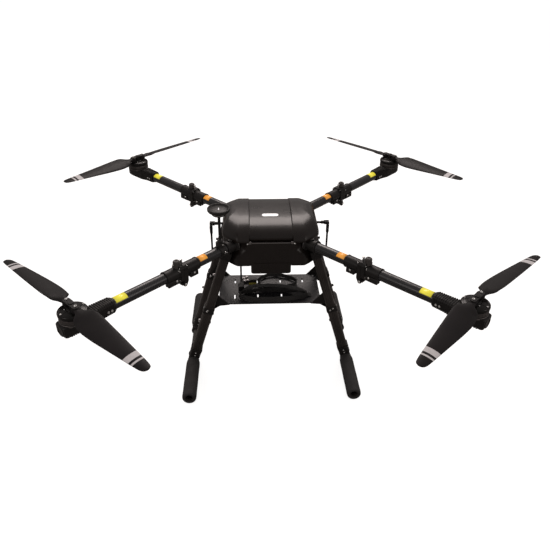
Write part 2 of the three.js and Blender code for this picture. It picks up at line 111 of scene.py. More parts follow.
# ------------------------------------------------------------------ camera, light and stage
def make_camera():
    place = Vector((-60.8, -1541.9, 1026.2))
    pitch, yaw, roll = (math.radians(angle) for angle in (32.29, 2.94, 0.68))
    ahead = Vector((math.sin(yaw) * math.cos(pitch), math.cos(yaw) * math.cos(pitch), -math.sin(pitch)))
    level = Vector((math.cos(yaw), -math.sin(yaw), 0))
    above = level.cross(ahead)
    right = math.cos(roll) * level + math.sin(roll) * above
    up = right.cross(ahead)
    turn = Matrix((right, up, -ahead)).transposed().to_4x4()
    camera = bpy.data.objects.new("camera", bpy.data.cameras.new("camera"))
    bpy.context.scene.collection.objects.link(camera)
    camera.matrix_world = Matrix.Translation(place * MM) @ turn
    camera.data.sensor_width = 36
    camera.data.lens = 36.9
    camera.data.clip_end = 100
    bpy.context.scene.camera = camera


def area_light(name, place, target, size, power, color):
    data = bpy.data.lights.new(name, "AREA")
    data.shape = "RECTANGLE"
    data.size, data.size_y = size
    data.energy = power
    data.color = color
    light = bpy.data.objects.new(name, data)
    bpy.context.scene.collection.objects.link(light)
    light.location = place
    light.rotation_euler = (Vector(target) - Vector(place)).to_track_quat("-Z", "Y").to_euler()


def make_lights():
    """Plain studio light: a wide overhead softbox, two side ones, and a white background."""
    area_light("overhead_softbox", (0, 2.1, 2.5), (0, 0, 0.2), (2.0, 1.1), 56, (1, 0.9, 0.86))
    area_light("front_left_softbox", (-2.2, -1.8, 1.6), (0, 0, 0.1), (1.0, 1.0), 12, (1, 0.92, 0.88))
    area_light("front_right_softbox", (2.4, -1.4, 1.2), (0, 0, 0.1), (0.8, 1.2), 9, (1, 0.92, 0.88))
    world = bpy.data.worlds.new("studio")
    bpy.context.scene.world = world
    world.use_nodes = True
    nodes, links = world.node_tree.nodes, world.node_tree.links
    nodes["Background"].inputs["Color"].default_value = (1, 0.93, 0.9, 1)
    nodes["Background"].inputs["Strength"].default_value = 0.42
    plain = nodes.new("ShaderNodeBackground")
    plain.inputs["Color"].default_value = (1, 1, 1, 1)
    plain.inputs["Strength"].default_value = 1.05
    path = nodes.new("ShaderNodeLightPath")
    mix = nodes.new("ShaderNodeMixShader")
    links.new(path.outputs["Is Camera Ray"], mix.inputs[0])
    links.new(nodes["Background"].outputs[0], mix.inputs[1])
    links.new(plain.outputs[0], mix.inputs[2])
    links.new(mix.outputs[0], nodes["World Output"].inputs["Surface"])
    bpy.context.scene.view_settings.view_transform = "Standard"


def make_floor():
    """A pale floor that the camera sees nearly white and that throws little light back up."""
    bpy.ops.mesh.primitive_plane_add(size=60, location=(0, 0, GROUND_Z * MM))
    floor = bpy.context.object
    floor.name = "studio_floor"
    material, shader = new_material("floor_white", (0.32, 0.31, 0.3), 0.95)
    shader.inputs["Specular IOR Level"].default_value = 0
    shader.inputs["Emission Color"].default_value = (1, 1, 1, 1)
    path = material.node_tree.nodes.new("ShaderNodeLightPath")
    seen = math_node(material, "MULTIPLY", path.outputs["Is Camera Ray"], 0.9)
    material.node_tree.links.new(seen, shader.inputs["Emission Strength"])
    floor.data.materials.append(material)


# ------------------------------------------------------------------ materials
def new_material(name, color, roughness, metallic=0.0, coat=0.0):
    material = bpy.data.materials.new(name)
    material.use_nodes = True
    shader = material.node_tree.nodes["Principled BSDF"]
    shader.inputs["Base Color"].default_value = (*color, 1)
    shader.inputs["Roughness"].default_value = roughness
    shader.inputs["Metallic"].default_value = metallic
    shader.inputs["Coat Weight"].default_value = coat
    return material, shader


def math_node(material, operation, *values, clamp=False):
    node = material.node_tree.nodes.new("ShaderNodeMath")
    node.operation = operation
    node.use_clamp = clamp
    for socket, value in zip(node.inputs, values):
        if isinstance(value, (int, float)):
            socket.default_value = value
        else:
            material.node_tree.links.new(value, socket)
    return node.outputs[0]


def mix_color(material, factor, low, high):
    node = material.node_tree.nodes.new("ShaderNodeMix")
    node.data_type = "RGBA"
    material.node_tree.links.new(factor, node.inputs["Factor"])
    for socket, value in ((node.inputs[6], low), (node.inputs[7], high)):
        if isinstance(value, tuple):
            socket.default_value = (*value, 1)
        else:
            material.node_tree.links.new(value, socket)
    return node.outputs[2]


def noise(material, scale, detail=3.0, stretch=(1, 1, 1)):
    nodes, links = material.node_tree.nodes, material.node_tree.links
    place = nodes.new("ShaderNodeTexCoord")
    mapping = nodes.new("ShaderNodeMapping")
    mapping.inputs["Scale"].default_value = stretch
    texture = nodes.new("ShaderNodeTexNoise")
    texture.inputs["Scale"].default_value = scale
    texture.inputs["Detail"].default_value = detail
    links.new(place.outputs["Object"], mapping.inputs["Vector"])
    links.new(mapping.outputs[0], texture.inputs["Vector"])
    return texture.outputs["Fac"]


def spread(material, value, low, high, ends=(0.3, 0.7)):
    node = material.node_tree.nodes.new("ShaderNodeMapRange")
    node.inputs["From Min"].default_value = ends[0]
    node.inputs["From Max"].default_value = ends[1]
    node.inputs["To Min"].default_value = low
    node.inputs["To Max"].default_value = high
    material.node_tree.links.new(value, node.inputs["Value"])
    return node.outputs[0]


def bump(material, shader, height, distance, strength=1.0):
    node = material.node_tree.nodes.new("ShaderNodeBump")
    node.inputs["Distance"].default_value = distance
    node.inputs["Strength"].default_value = strength
    material.node_tree.links.new(height, node.inputs["Height"])
    material.node_tree.links.new(node.outputs[0], shader.inputs["Normal"])


def grainy(name, color, tint, roughness, metallic=0.0, grain=900, depth=0.00004, coat=0.0, gloss=0.3):
    """A surface whose colour and gloss drift slowly and whose face has a fine even grain."""
    material, shader = new_material(name, color, sum(roughness) / 2, metallic, coat)
    shader.inputs["Specular IOR Level"].default_value = gloss
    links = material.node_tree.links
    drift = noise(material, 14)
    fine = noise(material, grain, 2)
    links.new(mix_color(material, spread(material, drift, 0, 1), color, tint), shader.inputs["Base Color"])
    smudge = math_node(material, "ADD", math_node(material, "MULTIPLY", drift, 0.8),
                       math_node(material, "MULTIPLY", fine, 0.2))
    links.new(spread(material, smudge, *roughness), shader.inputs["Roughness"])
    bump(material, shader, fine, depth)
    return material


def carbon_weave(name, coordinates, tow=2.0):
    """A lacquered two by two twill. coordinates is UV, in metres around and along a tube, or Object."""
    material, shader = new_material(name, (0.01, 0.01, 0.011), 0.34, coat=0.15)
    shader.inputs["Coat Roughness"].default_value = 0.2
    shader.inputs["Specular IOR Level"].default_value = 0.35
    nodes, links = material.node_tree.nodes, material.node_tree.links
    place = nodes.new("ShaderNodeTexCoord")
    split = nodes.new("ShaderNodeSeparateXYZ")
    links.new(place.outputs[coordinates], split.inputs[0])
    across = math_node(material, "DIVIDE", split.outputs[0], tow * MM)
    along = math_node(material, "DIVIDE", split.outputs[1], tow * MM)
    cell = math_node(material, "ADD", math_node(material, "FLOOR", across),
                     math_node(material, "FLOOR", along))
    over = math_node(material, "LESS_THAN", math_node(material, "FLOORED_MODULO", cell, 4), 2)
    arch_a = math_node(material, "SINE",
                       math_node(material, "MULTIPLY", math_node(material, "FRACT", across), math.pi))
    arch_b = math_node(material, "SINE",
                       math_node(material, "MULTIPLY", math_node(material, "FRACT", along), math.pi))
    height = math_node(material, "ADD", math_node(material, "MULTIPLY", over, arch_a),
                       math_node(material, "MULTIPLY", math_node(material, "SUBTRACT", 1, over), arch_b))
    links.new(mix_color(material, over, (0.007, 0.007, 0.008), (0.022, 0.022, 0.024)),
              shader.inputs["Base Color"])
    links.new(spread(material, noise(material, 30), 0.24, 0.36), shader.inputs["Roughness"])
    bump(material, shader, height, 0.00006, 0.6)
    return material


def blade_plastic():
    """Black moulded blade with a wide and a narrow pale band before its tip; X runs along the blade."""
    material, shader = new_material("blade_plastic", (0.02, 0.019, 0.02), 0.55)
    shader.inputs["Specular IOR Level"].default_value = 0.1
    nodes, links = material.node_tree.nodes, material.node_tree.links
    place = nodes.new("ShaderNodeTexCoord")
    split = nodes.new("ShaderNodeSeparateXYZ")
    links.new(place.outputs["UV"], split.inputs[0])
    along = split.outputs[0]
    bands = None
    for start, stop in ((0.79, 0.848), (0.872, 0.89)):
        inside = math_node(material, "MULTIPLY", math_node(material, "GREATER_THAN", along, start),
                           math_node(material, "LESS_THAN", along, stop))
        bands = inside if bands is None else math_node(material, "ADD", bands, inside, clamp=True)
    wear = spread(material, noise(material, 260, 4), 0.0, 0.35, (0.45, 0.8))
    plain = mix_color(material, spread(material, noise(material, 9), 0, 1), (0.010, 0.0088, 0.009),
                      (0.016, 0.014, 0.0145))
    paint = mix_color(material, wear, (0.6, 0.58, 0.59), (0.35, 0.34, 0.34))
    links.new(mix_color(material, bands, plain, paint), shader.inputs["Base Color"])
    fine = noise(material, 700, 2, (0.15, 1, 1))
    links.new(spread(material, fine, 0.36, 0.5), shader.inputs["Roughness"])
    bump(material, shader, fine, 0.00005, 0.6)
    return material


def brushed(name, color, roughness):
    material, shader = new_material(name, color, sum(roughness) / 2, metallic=1.0)
    lines = noise(material, 500, 2, (1, 1, 0.06))
    material.node_tree.links.new(spread(material, lines, *roughness), shader.inputs["Roughness"])
    bump(material, shader, lines, 0.00002, 0.5)
    return material


def glowing_label_vinyl(name, color, worn):
    """Glossy plain sticker with a thin darker border and slightly worn colour, and a painted glow: its
    colour is also emitted.
    """
    material, shader = new_material(name, color, 0.35, coat=0.3)
    nodes, links = material.node_tree.nodes, material.node_tree.links
    place = nodes.new("ShaderNodeTexCoord")
    split = nodes.new("ShaderNodeSeparateXYZ")
    links.new(place.outputs["UV"], split.inputs[0])
    rims = []
    for value in (split.outputs[0], split.outputs[1]):
        away = math_node(material, "ABSOLUTE", math_node(material, "SUBTRACT", value, 0.5))
        rims.append(math_node(material, "GREATER_THAN", away, 0.46))
    border = math_node(material, "MAXIMUM", *rims)
    wear = spread(material, noise(material, 90), 0, 0.18)
    face = mix_color(material, wear, color, worn)
    colored = mix_color(material, border, face, tuple(0.6 * part for part in color))
    links.new(colored, shader.inputs["Base Color"])
    # painted glow: the sticker's colour is also emitted, so it shines whatever the light
    links.new(colored, shader.inputs["Emission Color"])
    shader.inputs["Emission Strength"].default_value = 0.4
    links.new(spread(material, noise(material, 60), 0.28, 0.45), shader.inputs["Roughness"])
    return material


def glowing_white_print():
    """Opaque white ink with a painted glow: its colour is also emitted so that it stays white beside the
    black parts.
    """
    material, shader = new_material("glowing_white_print", (0.85, 0.85, 0.85), 0.4)
    links = material.node_tree.links
    colored = mix_color(material, spread(material, noise(material, 120), 0, 1), (0.86, 0.86, 0.85),
                        (0.78, 0.78, 0.77))
    links.new(colored, shader.inputs["Base Color"])
    # painted glow: the ink's colour is also emitted
    links.new(colored, shader.inputs["Emission Color"])
    shader.inputs["Emission Strength"].default_value = 0.5
    return material


def foam():
    material, shader = new_material("black_foam", (0.012, 0.012, 0.012), 0.85)
    nodes, links = material.node_tree.nodes, material.node_tree.links
    place = nodes.new("ShaderNodeTexCoord")
    cells = nodes.new("ShaderNodeTexVoronoi")
    cells.inputs["Scale"].default_value = 900
    links.new(place.outputs["Object"], cells.inputs["Vector"])
    pores = cells.outputs["Distance"]
    links.new(mix_color(material, pores, (0.006, 0.006, 0.006), (0.03, 0.028, 0.028)),
              shader.inputs["Base Color"])
    links.new(spread(material, noise(material, 25), 0.75, 0.95), shader.inputs["Roughness"])
    bump(material, shader, pores, 0.0003, 0.7)
    return material


def webbing():
    """Woven black strap: UV runs across and along it in metres."""
    material, shader = new_material("strap_webbing", (0.01, 0.01, 0.01), 0.8)
    nodes, links = material.node_tree.nodes, material.node_tree.links
    place = nodes.new("ShaderNodeTexCoord")
    split = nodes.new("ShaderNodeSeparateXYZ")
    links.new(place.outputs["UV"], split.inputs[0])
    ribs = math_node(material, "SINE",
                     math_node(material, "MULTIPLY", split.outputs[1], 2 * math.pi / (1.4 * MM)))
    cords = math_node(material, "SINE",
                      math_node(material, "MULTIPLY", split.outputs[0], 2 * math.pi / (1.0 * MM)))
    height = math_node(material, "MULTIPLY", ribs, cords)
    links.new(mix_color(material, spread(material, height, 0, 1, (-1, 1)), (0.006, 0.006, 0.006),
                        (0.025, 0.024, 0.023)),
              shader.inputs["Base Color"])
    bump(material, shader, height, 0.0003, 0.6)
    return material


def make_materials():
    return {
        "tube": carbon_weave("carbon_tube_twill", "UV"),
        "plate": carbon_weave("carbon_plate_twill", "Object"),
        "metal": grainy("black_anodised", (0.010, 0.0092, 0.009), (0.017, 0.0155, 0.015), (0.36, 0.5),
                        0.35, 1400, 0.00003),
        "bell": grainy("bell_gloss_black", (0.007, 0.0065, 0.0062), (0.011, 0.01, 0.0095), (0.2, 0.3), 0,
                       1600, 0.00001, 0, 0.16),
        "ring": grainy("bell_ring_grey", (0.055, 0.049, 0.047), (0.075, 0.068, 0.066), (0.34, 0.46), 0.6,
                       1600, 0.00002),
        "base": grainy("motor_base_grey", (0.09, 0.082, 0.08), (0.13, 0.12, 0.118), (0.34, 0.46), 0.7,
                       1600, 0.00002),
        "knob": grainy("knob_grey", (0.045, 0.04, 0.038), (0.06, 0.055, 0.052), (0.42, 0.55), 0, 1100,
                       0.00004),
        "plastic": grainy("black_plastic", (0.009, 0.0078, 0.0075), (0.014, 0.0125, 0.012), (0.42, 0.55),
                          0, 1100, 0.00005),
        "shell": grainy("shell_lacquer", (0.0082, 0.0058, 0.005), (0.011, 0.008, 0.007), (0.26, 0.32), 0,
                        500, 0.00002, 0.05, 0.26),
        "leg": grainy("leg_anodised", (0.036, 0.031, 0.029), (0.05, 0.044, 0.041), (0.34, 0.46), 0.4, 1200,
                      0.00003),
        "blade": blade_plastic(),
        "foam": foam(),
        "rubber": grainy("black_rubber", (0.01, 0.01, 0.01), (0.014, 0.014, 0.014), (0.55, 0.7), 0, 1500,
                         0.00004),
        "steel": brushed("bright_steel", (0.75, 0.75, 0.74), (0.16, 0.3)),
        "dark_steel": brushed("dark_steel", (0.22, 0.21, 0.21), (0.25, 0.4)),
        "copper": brushed("winding_copper", (0.5, 0.22, 0.08), (0.3, 0.45)),
        "white": glowing_white_print(),
        "orange": glowing_label_vinyl("orange_label", (0.85, 0.36, 0.05), (0.12, 0.05, 0.02)),
        "yellow": glowing_label_vinyl("yellow_label", (0.87, 0.78, 0.06), (0.1, 0.09, 0.02)),
        "olive": grainy("connector_nylon", (0.34, 0.3, 0.05), (0.25, 0.22, 0.05), (0.4, 0.5)),
        "strap": webbing(),
    }


# ------------------------------------------------------------------ mesh code
class Shape:
    """A mesh under construction, in millimetres."""

    def __init__(self):
        self.mesh = bmesh.new()
        self.uv = self.mesh.loops.layers.uv.new("UVMap")

    def quads(self, rings, closed_around=True, closed_along=False, uv=None):
        """Skin over rings of points. uv(ring, side) gives the texture place in metres."""
        verts = [[self.mesh.verts.new(point) for point in ring] for ring in rings]
        sides = len(rings[0])
        for i in range(len(rings) if closed_along else len(rings) - 1):
            for k in range(sides if closed_around else sides - 1):
                corners = [(i, k), (i, k + 1), (i + 1, k + 1), (i + 1, k)]
                face = self.mesh.faces.new([verts[a % len(rings)][b % sides] for a, b in corners])
                if uv:
                    for loop, corner in zip(face.loops, corners):
                        loop[self.uv].uv = uv(*corner)
        return verts

    def loft(self, sections, uv=None):
        verts = self.quads(sections, uv=uv)
        self.mesh.faces.new(list(reversed(verts[0])))
        self.mesh.faces.new(verts[-1])
        return self

    def revolve(self, profile, axis="Z", at=(0, 0, 0), steps=40, closed=False):
        """Turns (radius, height) points about an axis: a closed profile is a ring, an open one is capped."""
        rings = []
        for step in range(steps):
            angle = 2 * math.pi * step / steps
            cosine, sine = math.cos(angle), math.sin(angle)
            rings.append([place_on_axis(axis, r * cosine, r * sine, h, at) for r, h in profile])
        reach = max(r for r, _ in profile)

        def uv(ring, side):
            return 2 * math.pi * reach * ring / steps * MM, profile[side % len(profile)][1] * MM

        verts = self.quads(rings, closed_around=closed, closed_along=True, uv=uv)
        if not closed:
            for end in (0, -1):
                if profile[end][0] > 1e-6:
                    self.mesh.faces.new([ring[end] for ring in verts])
        bmesh.ops.remove_doubles(self.mesh, verts=[v for ring in verts for v in ring], dist=1e-5)
        return self

    def prism(self, outline, low, high, axis="Z", at=(0, 0, 0)):
        rings = [[place_on_axis(axis, a, b, height, at) for a, b in outline] for height in (low, high)]
        return self.loft(rings)

    def box(self, low, high):
        outline = [(low[0], low[1]), (high[0], low[1]), (high[0], high[1]), (low[0], high[1])]
        return self.prism(outline, low[2], high[2])

    def screw(self, at, axis, radius, height=None):
        """Socket head screw: a chamfered drum with a round socket. axis is X, Y or Z, with its sign."""
        height = height or radius * 0.9
        sign = -1 if axis.startswith("-") else 1
        name = axis[-1]
        drum = [(radius, 0), (radius, sign * height * 0.8), (radius * 0.82, sign * height),
                (radius * 0.5, sign * height), (radius * 0.45, sign * height * 0.45),
                (0, sign * height * 0.45)]
        return self.revolve(drum, name, at, 14)

    def turned(self, matrix):
        self.mesh.transform(matrix)
        return self

    def piece(self, name, place, material, body, bevel=0.0, sharp=35, nodes=(), slot=None):
        """Makes the Blender object, in metres, and lets it ride on a body."""
        bmesh.ops.recalc_face_normals(self.mesh, faces=self.mesh.faces)
        self.mesh.transform(Matrix.Scale(MM, 4))
        data = bpy.data.meshes.new(name)
        self.mesh.to_mesh(data)
        self.mesh.free()
        data.materials.append(material)
        data.shade_smooth()
        data.set_sharp_from_angle(angle=math.radians(sharp))
        piece = bpy.data.objects.new(name, data)
        bpy.context.scene.collection.objects.link(piece)
        matrix = place.copy()
        matrix.translation *= MM
        piece.matrix_world = matrix
        if bevel:
            edge = piece.modifiers.new("edge_round", "BEVEL")
            edge.width = bevel * MM
            edge.segments = 2
            edge.limit_method = "ANGLE"
            edge.angle_limit = math.radians(sharp)
            edge.harden_normals = True
        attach(piece, body)
        if nodes:
            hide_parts(*nodes)
        return piece


def place_on_axis(axis, a, b, height, at):
    order = {"X": (height, a, b), "Y": (b, height, a), "Z": (a, b, height)}[axis]
    return Vector(order) + Vector(at)


def circle(radius, steps=24, at=(0, 0), start=0.0, stop=2 * math.pi):
    full = abs(stop - start - 2 * math.pi) < 1e-9
    count = steps if full else steps + 1
    angles = [start + (stop - start) * k / steps for k in range(count)]
    return [(at[0] + radius * math.cos(t), at[1] + radius * math.sin(t)) for t in angles]


def ring(outer, inner, low, high, lip=0.6):
    """Closed profile of a tube with small chamfers, for revolve(closed=True)."""
    return [(outer - lip, low), (outer, low + lip), (outer, high - lip), (outer - lip, high),
            (inner, high), (inner, low)]


def rounded_box(half_a, half_b, radius, steps=5):
    points = []
    for quarter, (sign_a, sign_b) in enumerate(((1, 1), (-1, 1), (-1, -1), (1, -1))):
        for k in range(steps + 1):
            angle = (quarter + k / steps) * math.pi / 2
            points.append((sign_a * (half_a - radius) + radius * math.cos(angle),
                           sign_b * (half_b - radius) + radius * math.sin(angle)))
    return points


def stadium(half_length, radius, steps=10):
    """Outline of a bar with round ends."""
    right = circle(radius, steps, (half_length, 0), -math.pi / 2, math.pi / 2)
    left = circle(radius, steps, (-half_length, 0), math.pi / 2, 3 * math.pi / 2)
    return right + left


IDENTITY = Matrix.Identity(4)


def arm_place(corner):
    """Along an arm X points outwards, and the arm's axis is at the origin's height."""
    side, end = CORNERS[corner]
    return Matrix.Translation((0, 0, ARM_Z)) @ Matrix.Rotation(math.atan2(end, side), 4, "Z")


def rotor_place(corner):
    hub = joint_place(f"{corner}_rotor_spin")
    pivot = joint_place(f"{corner}_blade_a_fold")
    turn = math.atan2(pivot.y - hub.y, pivot.x - hub.x)
    return Matrix.Translation((hub.x, hub.y, ARM_Z)) @ Matrix.Rotation(turn, 4, "Z")


def leg_place(side, end):
    """Along a leg Z points down it from its top, and Y lies level."""
    top = Vector((side * LEG_TOP.x, end * LEG_TOP.y, LEG_TOP.z))
    foot = Vector((side * LEG_FOOT.x, end * LEG_FOOT.y, LEG_FOOT.z))
    down = (foot - top).normalized()
    across = Vector((0, 1, 0)).cross(down).normalized()
    forward = down.cross(across)
    turn = Matrix((across, forward, down)).transposed().to_4x4()
    return Matrix.Translation(top) @ turn


# ------------------------------------------------------------------ arms
def arm_tubes(corner, look):
    place = arm_place(corner)
    inner_end = FOLD_REACH - FLANGE_THICK + 2
    inner = Shape().revolve(ring(TUBE_R, TUBE_R - TUBE_WALL, 96, inner_end), "X", steps=48, closed=True)
    inner.piece(f"{corner}_inner_tube_skin", place, look["tube"], "airframe",
                nodes=[f"{corner}_inner_tube"], slot="carbon_tube")
    outer_start = FOLD_REACH + FLANGE_THICK - 2
    outer_end = MOTOR_REACH - 26
    outer = Shape().revolve(ring(TUBE_R, TUBE_R - TUBE_WALL, outer_start, outer_end), "X", steps=48,
                            closed=True)
    outer.piece(f"{corner}_outer_tube_skin", place, look["tube"], f"{corner}_arm",
                nodes=[f"{corner}_outer_tube"], slot="carbon_tube")


def tube_label(name, corner, span, material, body):
    """A thin sticker over the top of an arm tube; its UV runs 0 to 1 along and around."""
    label = Shape()
    radius = TUBE_R + 0.18
    steps = 14
    half_turn = math.radians(62)
    rings = []
    for k in range(2):
        x = span[0] + (span[1] - span[0]) * k
        angles = [math.pi / 2 - half_turn + 2 * half_turn * i / steps for i in range(steps + 1)]
        rings.append([Vector((x, radius * math.cos(t), radius * math.sin(t))) for t in angles])
    label.quads(rings, closed_around=False, uv=lambda ring, side: (ring, side / steps))
    piece = label.piece(name, arm_place(corner), material, body)
    thick = piece.modifiers.new("vinyl", "SOLIDIFY")
    thick.thickness = 0.15 * MM


def flange_outline():
    return [(-19, -22), (-16, -24), (16, -24), (19, -22), (19, 15), (13, 21), (-13, 21), (-19, 15)]


def rounded_bar(x0, x1, low, high, radius=3):
    """A bar along X with a rounded section between two YZ corners."""
    middle = ((low[0] + high[0]) / 2, (low[1] + high[1]) / 2)
    outline = rounded_box((high[0] - low[0]) / 2, (high[1] - low[1]) / 2, radius, 4)
    return Shape().prism([(a + middle[0], b + middle[1]) for a, b in outline], x0, x1, "X")


def joint_half(corner, inner, look):
    """One half of an arm's folding joint: face plate, clamp sleeve with its lug, knuckles and screws."""
    front = -CORNERS[corner][0]
    away = -1 if inner else 1
    face = FOLD_REACH + away * 0.15
    back = face + away * FLANGE_THICK
    sleeve_end = back + away * (INNER_SLEEVE if inner else OUTER_SLEEVE)
    body = "airframe" if inner else f"{corner}_arm"
    place = arm_place(corner)
    name = f"{corner}_{'inner' if inner else 'outer'}_joint"

    metal = Shape()
    metal.prism(flange_outline(), min(face, back), max(face, back), "X")
    rim = sorted((back, back + away * 3))
    metal.revolve(ring(SLEEVE_R + 1.5, TUBE_R + 0.2, *rim, 1), "X", steps=44, closed=True)
    sleeve = sorted((back, sleeve_end))
    metal.revolve(ring(SLEEVE_R, TUBE_R + 0.2, *sleeve, 1), "X", steps=44, closed=True)
    lip = sorted((sleeve_end - away * 4, sleeve_end))
    metal.revolve(ring(SLEEVE_R + 0.8, SLEEVE_R - 1, *lip, 0.6), "X", steps=44, closed=True)
    lug = INNER_LUG if inner else OUTER_LUG
    low_y, high_y = sorted((front * 1.5, front * 17.5))
    for y0, y1 in ((low_y, (low_y + high_y) / 2 - 0.5), ((low_y + high_y) / 2 + 0.5, high_y)):
        merge(metal, rounded_bar(*lug, (y0, -25), (y1, -9), 2.4))
    spans = [(-19, -9.7), (9.7, 19)] if inner else [(-9.4, 9.4)]
    knuckle = [(back, -20), (face, -20), (FOLD_REACH - away * 5, -34), (FOLD_REACH - away * 3, -41),
               (FOLD_REACH + away * 4, -42), (back, -27)]
    for y0, y1 in spans:
        # the prism's own plane is (Z, X) when its axis is Y
        metal.prism([(z, x) for x, z in knuckle], y0, y1, "Y")
        metal.revolve([(6.2, y0), (6.2, y1)], "Y", (FOLD_REACH, 0, -FOLD_DROP), 28)
    metal.piece(name + "_metal", place, look["metal"], body, bevel=0.6, nodes=[name], slot="black_metal")

    bright = Shape()
    screw_x = lug[0] + (14 if inner else 8)
    bright.screw((screw_x, front * 17.5, -12), "Y" if front > 0 else "-Y", 3.2, 2.6)
    bright.screw((screw_x, front * 1.5, -12), "-Y" if front > 0 else "Y", 3.2, 2.6)
    if inner:
        for sign in (-1, 1):
            bright.screw((FOLD_REACH, sign * 19, -FOLD_DROP), "Y" if sign > 0 else "-Y", 3.6, 2.4)
        bright.revolve([(2.6, 21), (2.6, 30), (3.4, 30.6), (3.4, 33), (2.4, 34), (0, 34)], "Z",
                       (FOLD_REACH - 6, 0, 0), 16)
    else:
        bright.revolve([(2.2, -18.8), (2.2, 18.8)], "Y", (FOLD_REACH, 0, -FOLD_DROP), 16)
        eye = Shape().revolve(ring(4.2, 2.6, -0.9, 0.9, 0.4), "X", steps=20, closed=True)
        lift = Matrix.Translation((back + 3, front * 14, 9)) @ Matrix.Rotation(math.radians(35), 4, "Z")
        merge(bright, eye.turned(lift))
    for y, z in ((-14, 16), (14, 16), (-14, -19), (14, -19)):
        bright.screw((back, y, z), "-X" if inner else "X", 1.9, 1.5)
    bright.piece(name + "_screws", place, look["steel"], body)
    if not inner:
        lock_knob(corner, face, look)


def lock_knob(corner, face, look):
    """The ribbed knob that locks the joint, standing on the outer half's top."""
    knob = Shape()
    ridges = 14
    outline = []
    for k in range(2 * ridges):
        radius = 9.9 if k % 2 else 9.2
        angle = math.pi * k / ridges
        outline.append((face + 10 + radius * math.cos(angle), radius * math.sin(angle)))
    knob.prism(outline, 19, 34)
    knob.revolve([(9.9, 15), (9.9, 20)], "Z", (face + 10, 0, 0), 32)
    knob.revolve([(9, 33.8), (7.4, 36), (3, 36), (2.6, 34.6), (0, 34.6)], "Z", (face + 10, 0, 0), 32)
    knob.piece(f"{corner}_lock_knob", arm_place(corner), look["knob"], f"{corner}_arm", bevel=0.3)


def motor_mount(corner, look):
    """The finned bar from the tube's end to beyond the motor, with the motor's seat and windings."""
    place = arm_place(corner)
    body = f"{corner}_arm"
    start, end = MOTOR_REACH - 100, MOTOR_REACH + 38
    # along the arm: half width, low and high edge, corner radius
    sections = [(start, 16.8, -16.5, 16.5, 9), (start + 30, 17.5, -17, 16.5, 8),
                (start + 58, 20.5, -18.5, 14.5, 6),
                (start + 66, 21, -19, 12.5, 5), (end - 6, 21, -19, 12.5, 5),
                (end - 2, 20, -17.5, 11.5, 4.5), (end, 18.5, -16, 10, 4)]
    metal = Shape()
    metal.loft([bar_section(*section) for section in sections])
    pitch = 5.6
    for k in range(22):
        x = start + 3 + k * pitch
        if x + 2.6 > end - 6:
            break
        grown = section_at(sections, x)
        edge = 1.5
        lower, upper = grown[1] - edge, grown[2] + (edge if x < start + 60 else 0)
        width = grown[0] + (0.9 if x < start + 60 else 0.4)
        fin = [bar_section(at, width, lower, upper, grown[3]) for at in (x, x + 2.6)]
        metal.loft(fin)
    for z0, z1 in ((-5.4, -3.8), (5.0, 6.4)):
        metal.box((start + 22, -18.8, z0), (start + 62, 18.8, z1))
    metal.revolve(ring(SLEEVE_R + 0.9, TUBE_R + 0.2, start - 2, start + 4, 0.8), "X", steps=44, closed=True)
    cap = [(15, end - 1), (15, end + 0.6), (13.6, end + 1.6), (11, end + 1.6), (10.4, end + 0.4),
           (0, end + 0.4)]
    metal.revolve([(r, x) for r, x in cap], "X", (0, 0, -3.5), 36)
    metal.piece(f"{corner}_mount_metal", place, look["metal"], body, bevel=0.5,
                nodes=[f"{corner}_motor_mount"], slot="black_metal")

    seat = Shape()
    seat.revolve([(33.2, 11.4), (34.6, 12.2), (34.9, 13.2), (34.2, 14), (12, 14.2), (12, 18)], "Z",
                 (MOTOR_REACH, 0, 0), 56)
    for k in range(4):
        quarter = Matrix.Rotation((k + 0.5) * math.pi / 2, 4, "Z")
        turn = Matrix.Translation((MOTOR_REACH, 0, 0)) @ quarter
        tab = Shape().prism(rounded_box(7, 5, 2.5), 9, 12.6).turned(Matrix.Translation((27, 0, 0)))
        merge(seat, tab.turned(turn))
    seat.piece(f"{corner}_motor_base", place, look["base"], body, bevel=0.3)

    copper = Shape()
    copper.revolve([(30.6, 18), (31, 19), (31, 30), (30.6, 31), (8, 31), (8, 18)], "Z",
                   (MOTOR_REACH, 0, 0), 48)
    copper.piece(f"{corner}_stator_windings", place, look["copper"], body)

    bright = Shape()
    for x in (start + 12, start + 22):
        for sign in (-1, 1):
            bright.screw((x, sign * 17, -3.5), "Y" if sign > 0 else "-Y", 3.1, 3)
    for k in range(4):
        angle = math.pi / 4 + k * math.pi / 2
        bright.screw((MOTOR_REACH + 22 * math.cos(angle), 16 * math.sin(angle), -19), "-Z", 2.2, 2)
    bright.piece(f"{corner}_mount_screws", place, look["steel"], body)


def bar_section(x, half_width, low, high, radius):
    middle = (low + high) / 2
    return [Vector((x, a, b + middle)) for a, b in rounded_box(half_width, (high - low) / 2, radius, 4)]


def section_at(sections, x):
    """Half width, low edge, high edge and corner radius of a lofted bar at x."""
    for before, after in zip(sections, sections[1:]):
        if before[0] <= x <= after[0]:
            share = (x - before[0]) / (after[0] - before[0])
            return [a + (b - a) * share for a, b in zip(before[1:], after[1:])]
    return list(sections[-1][1:])


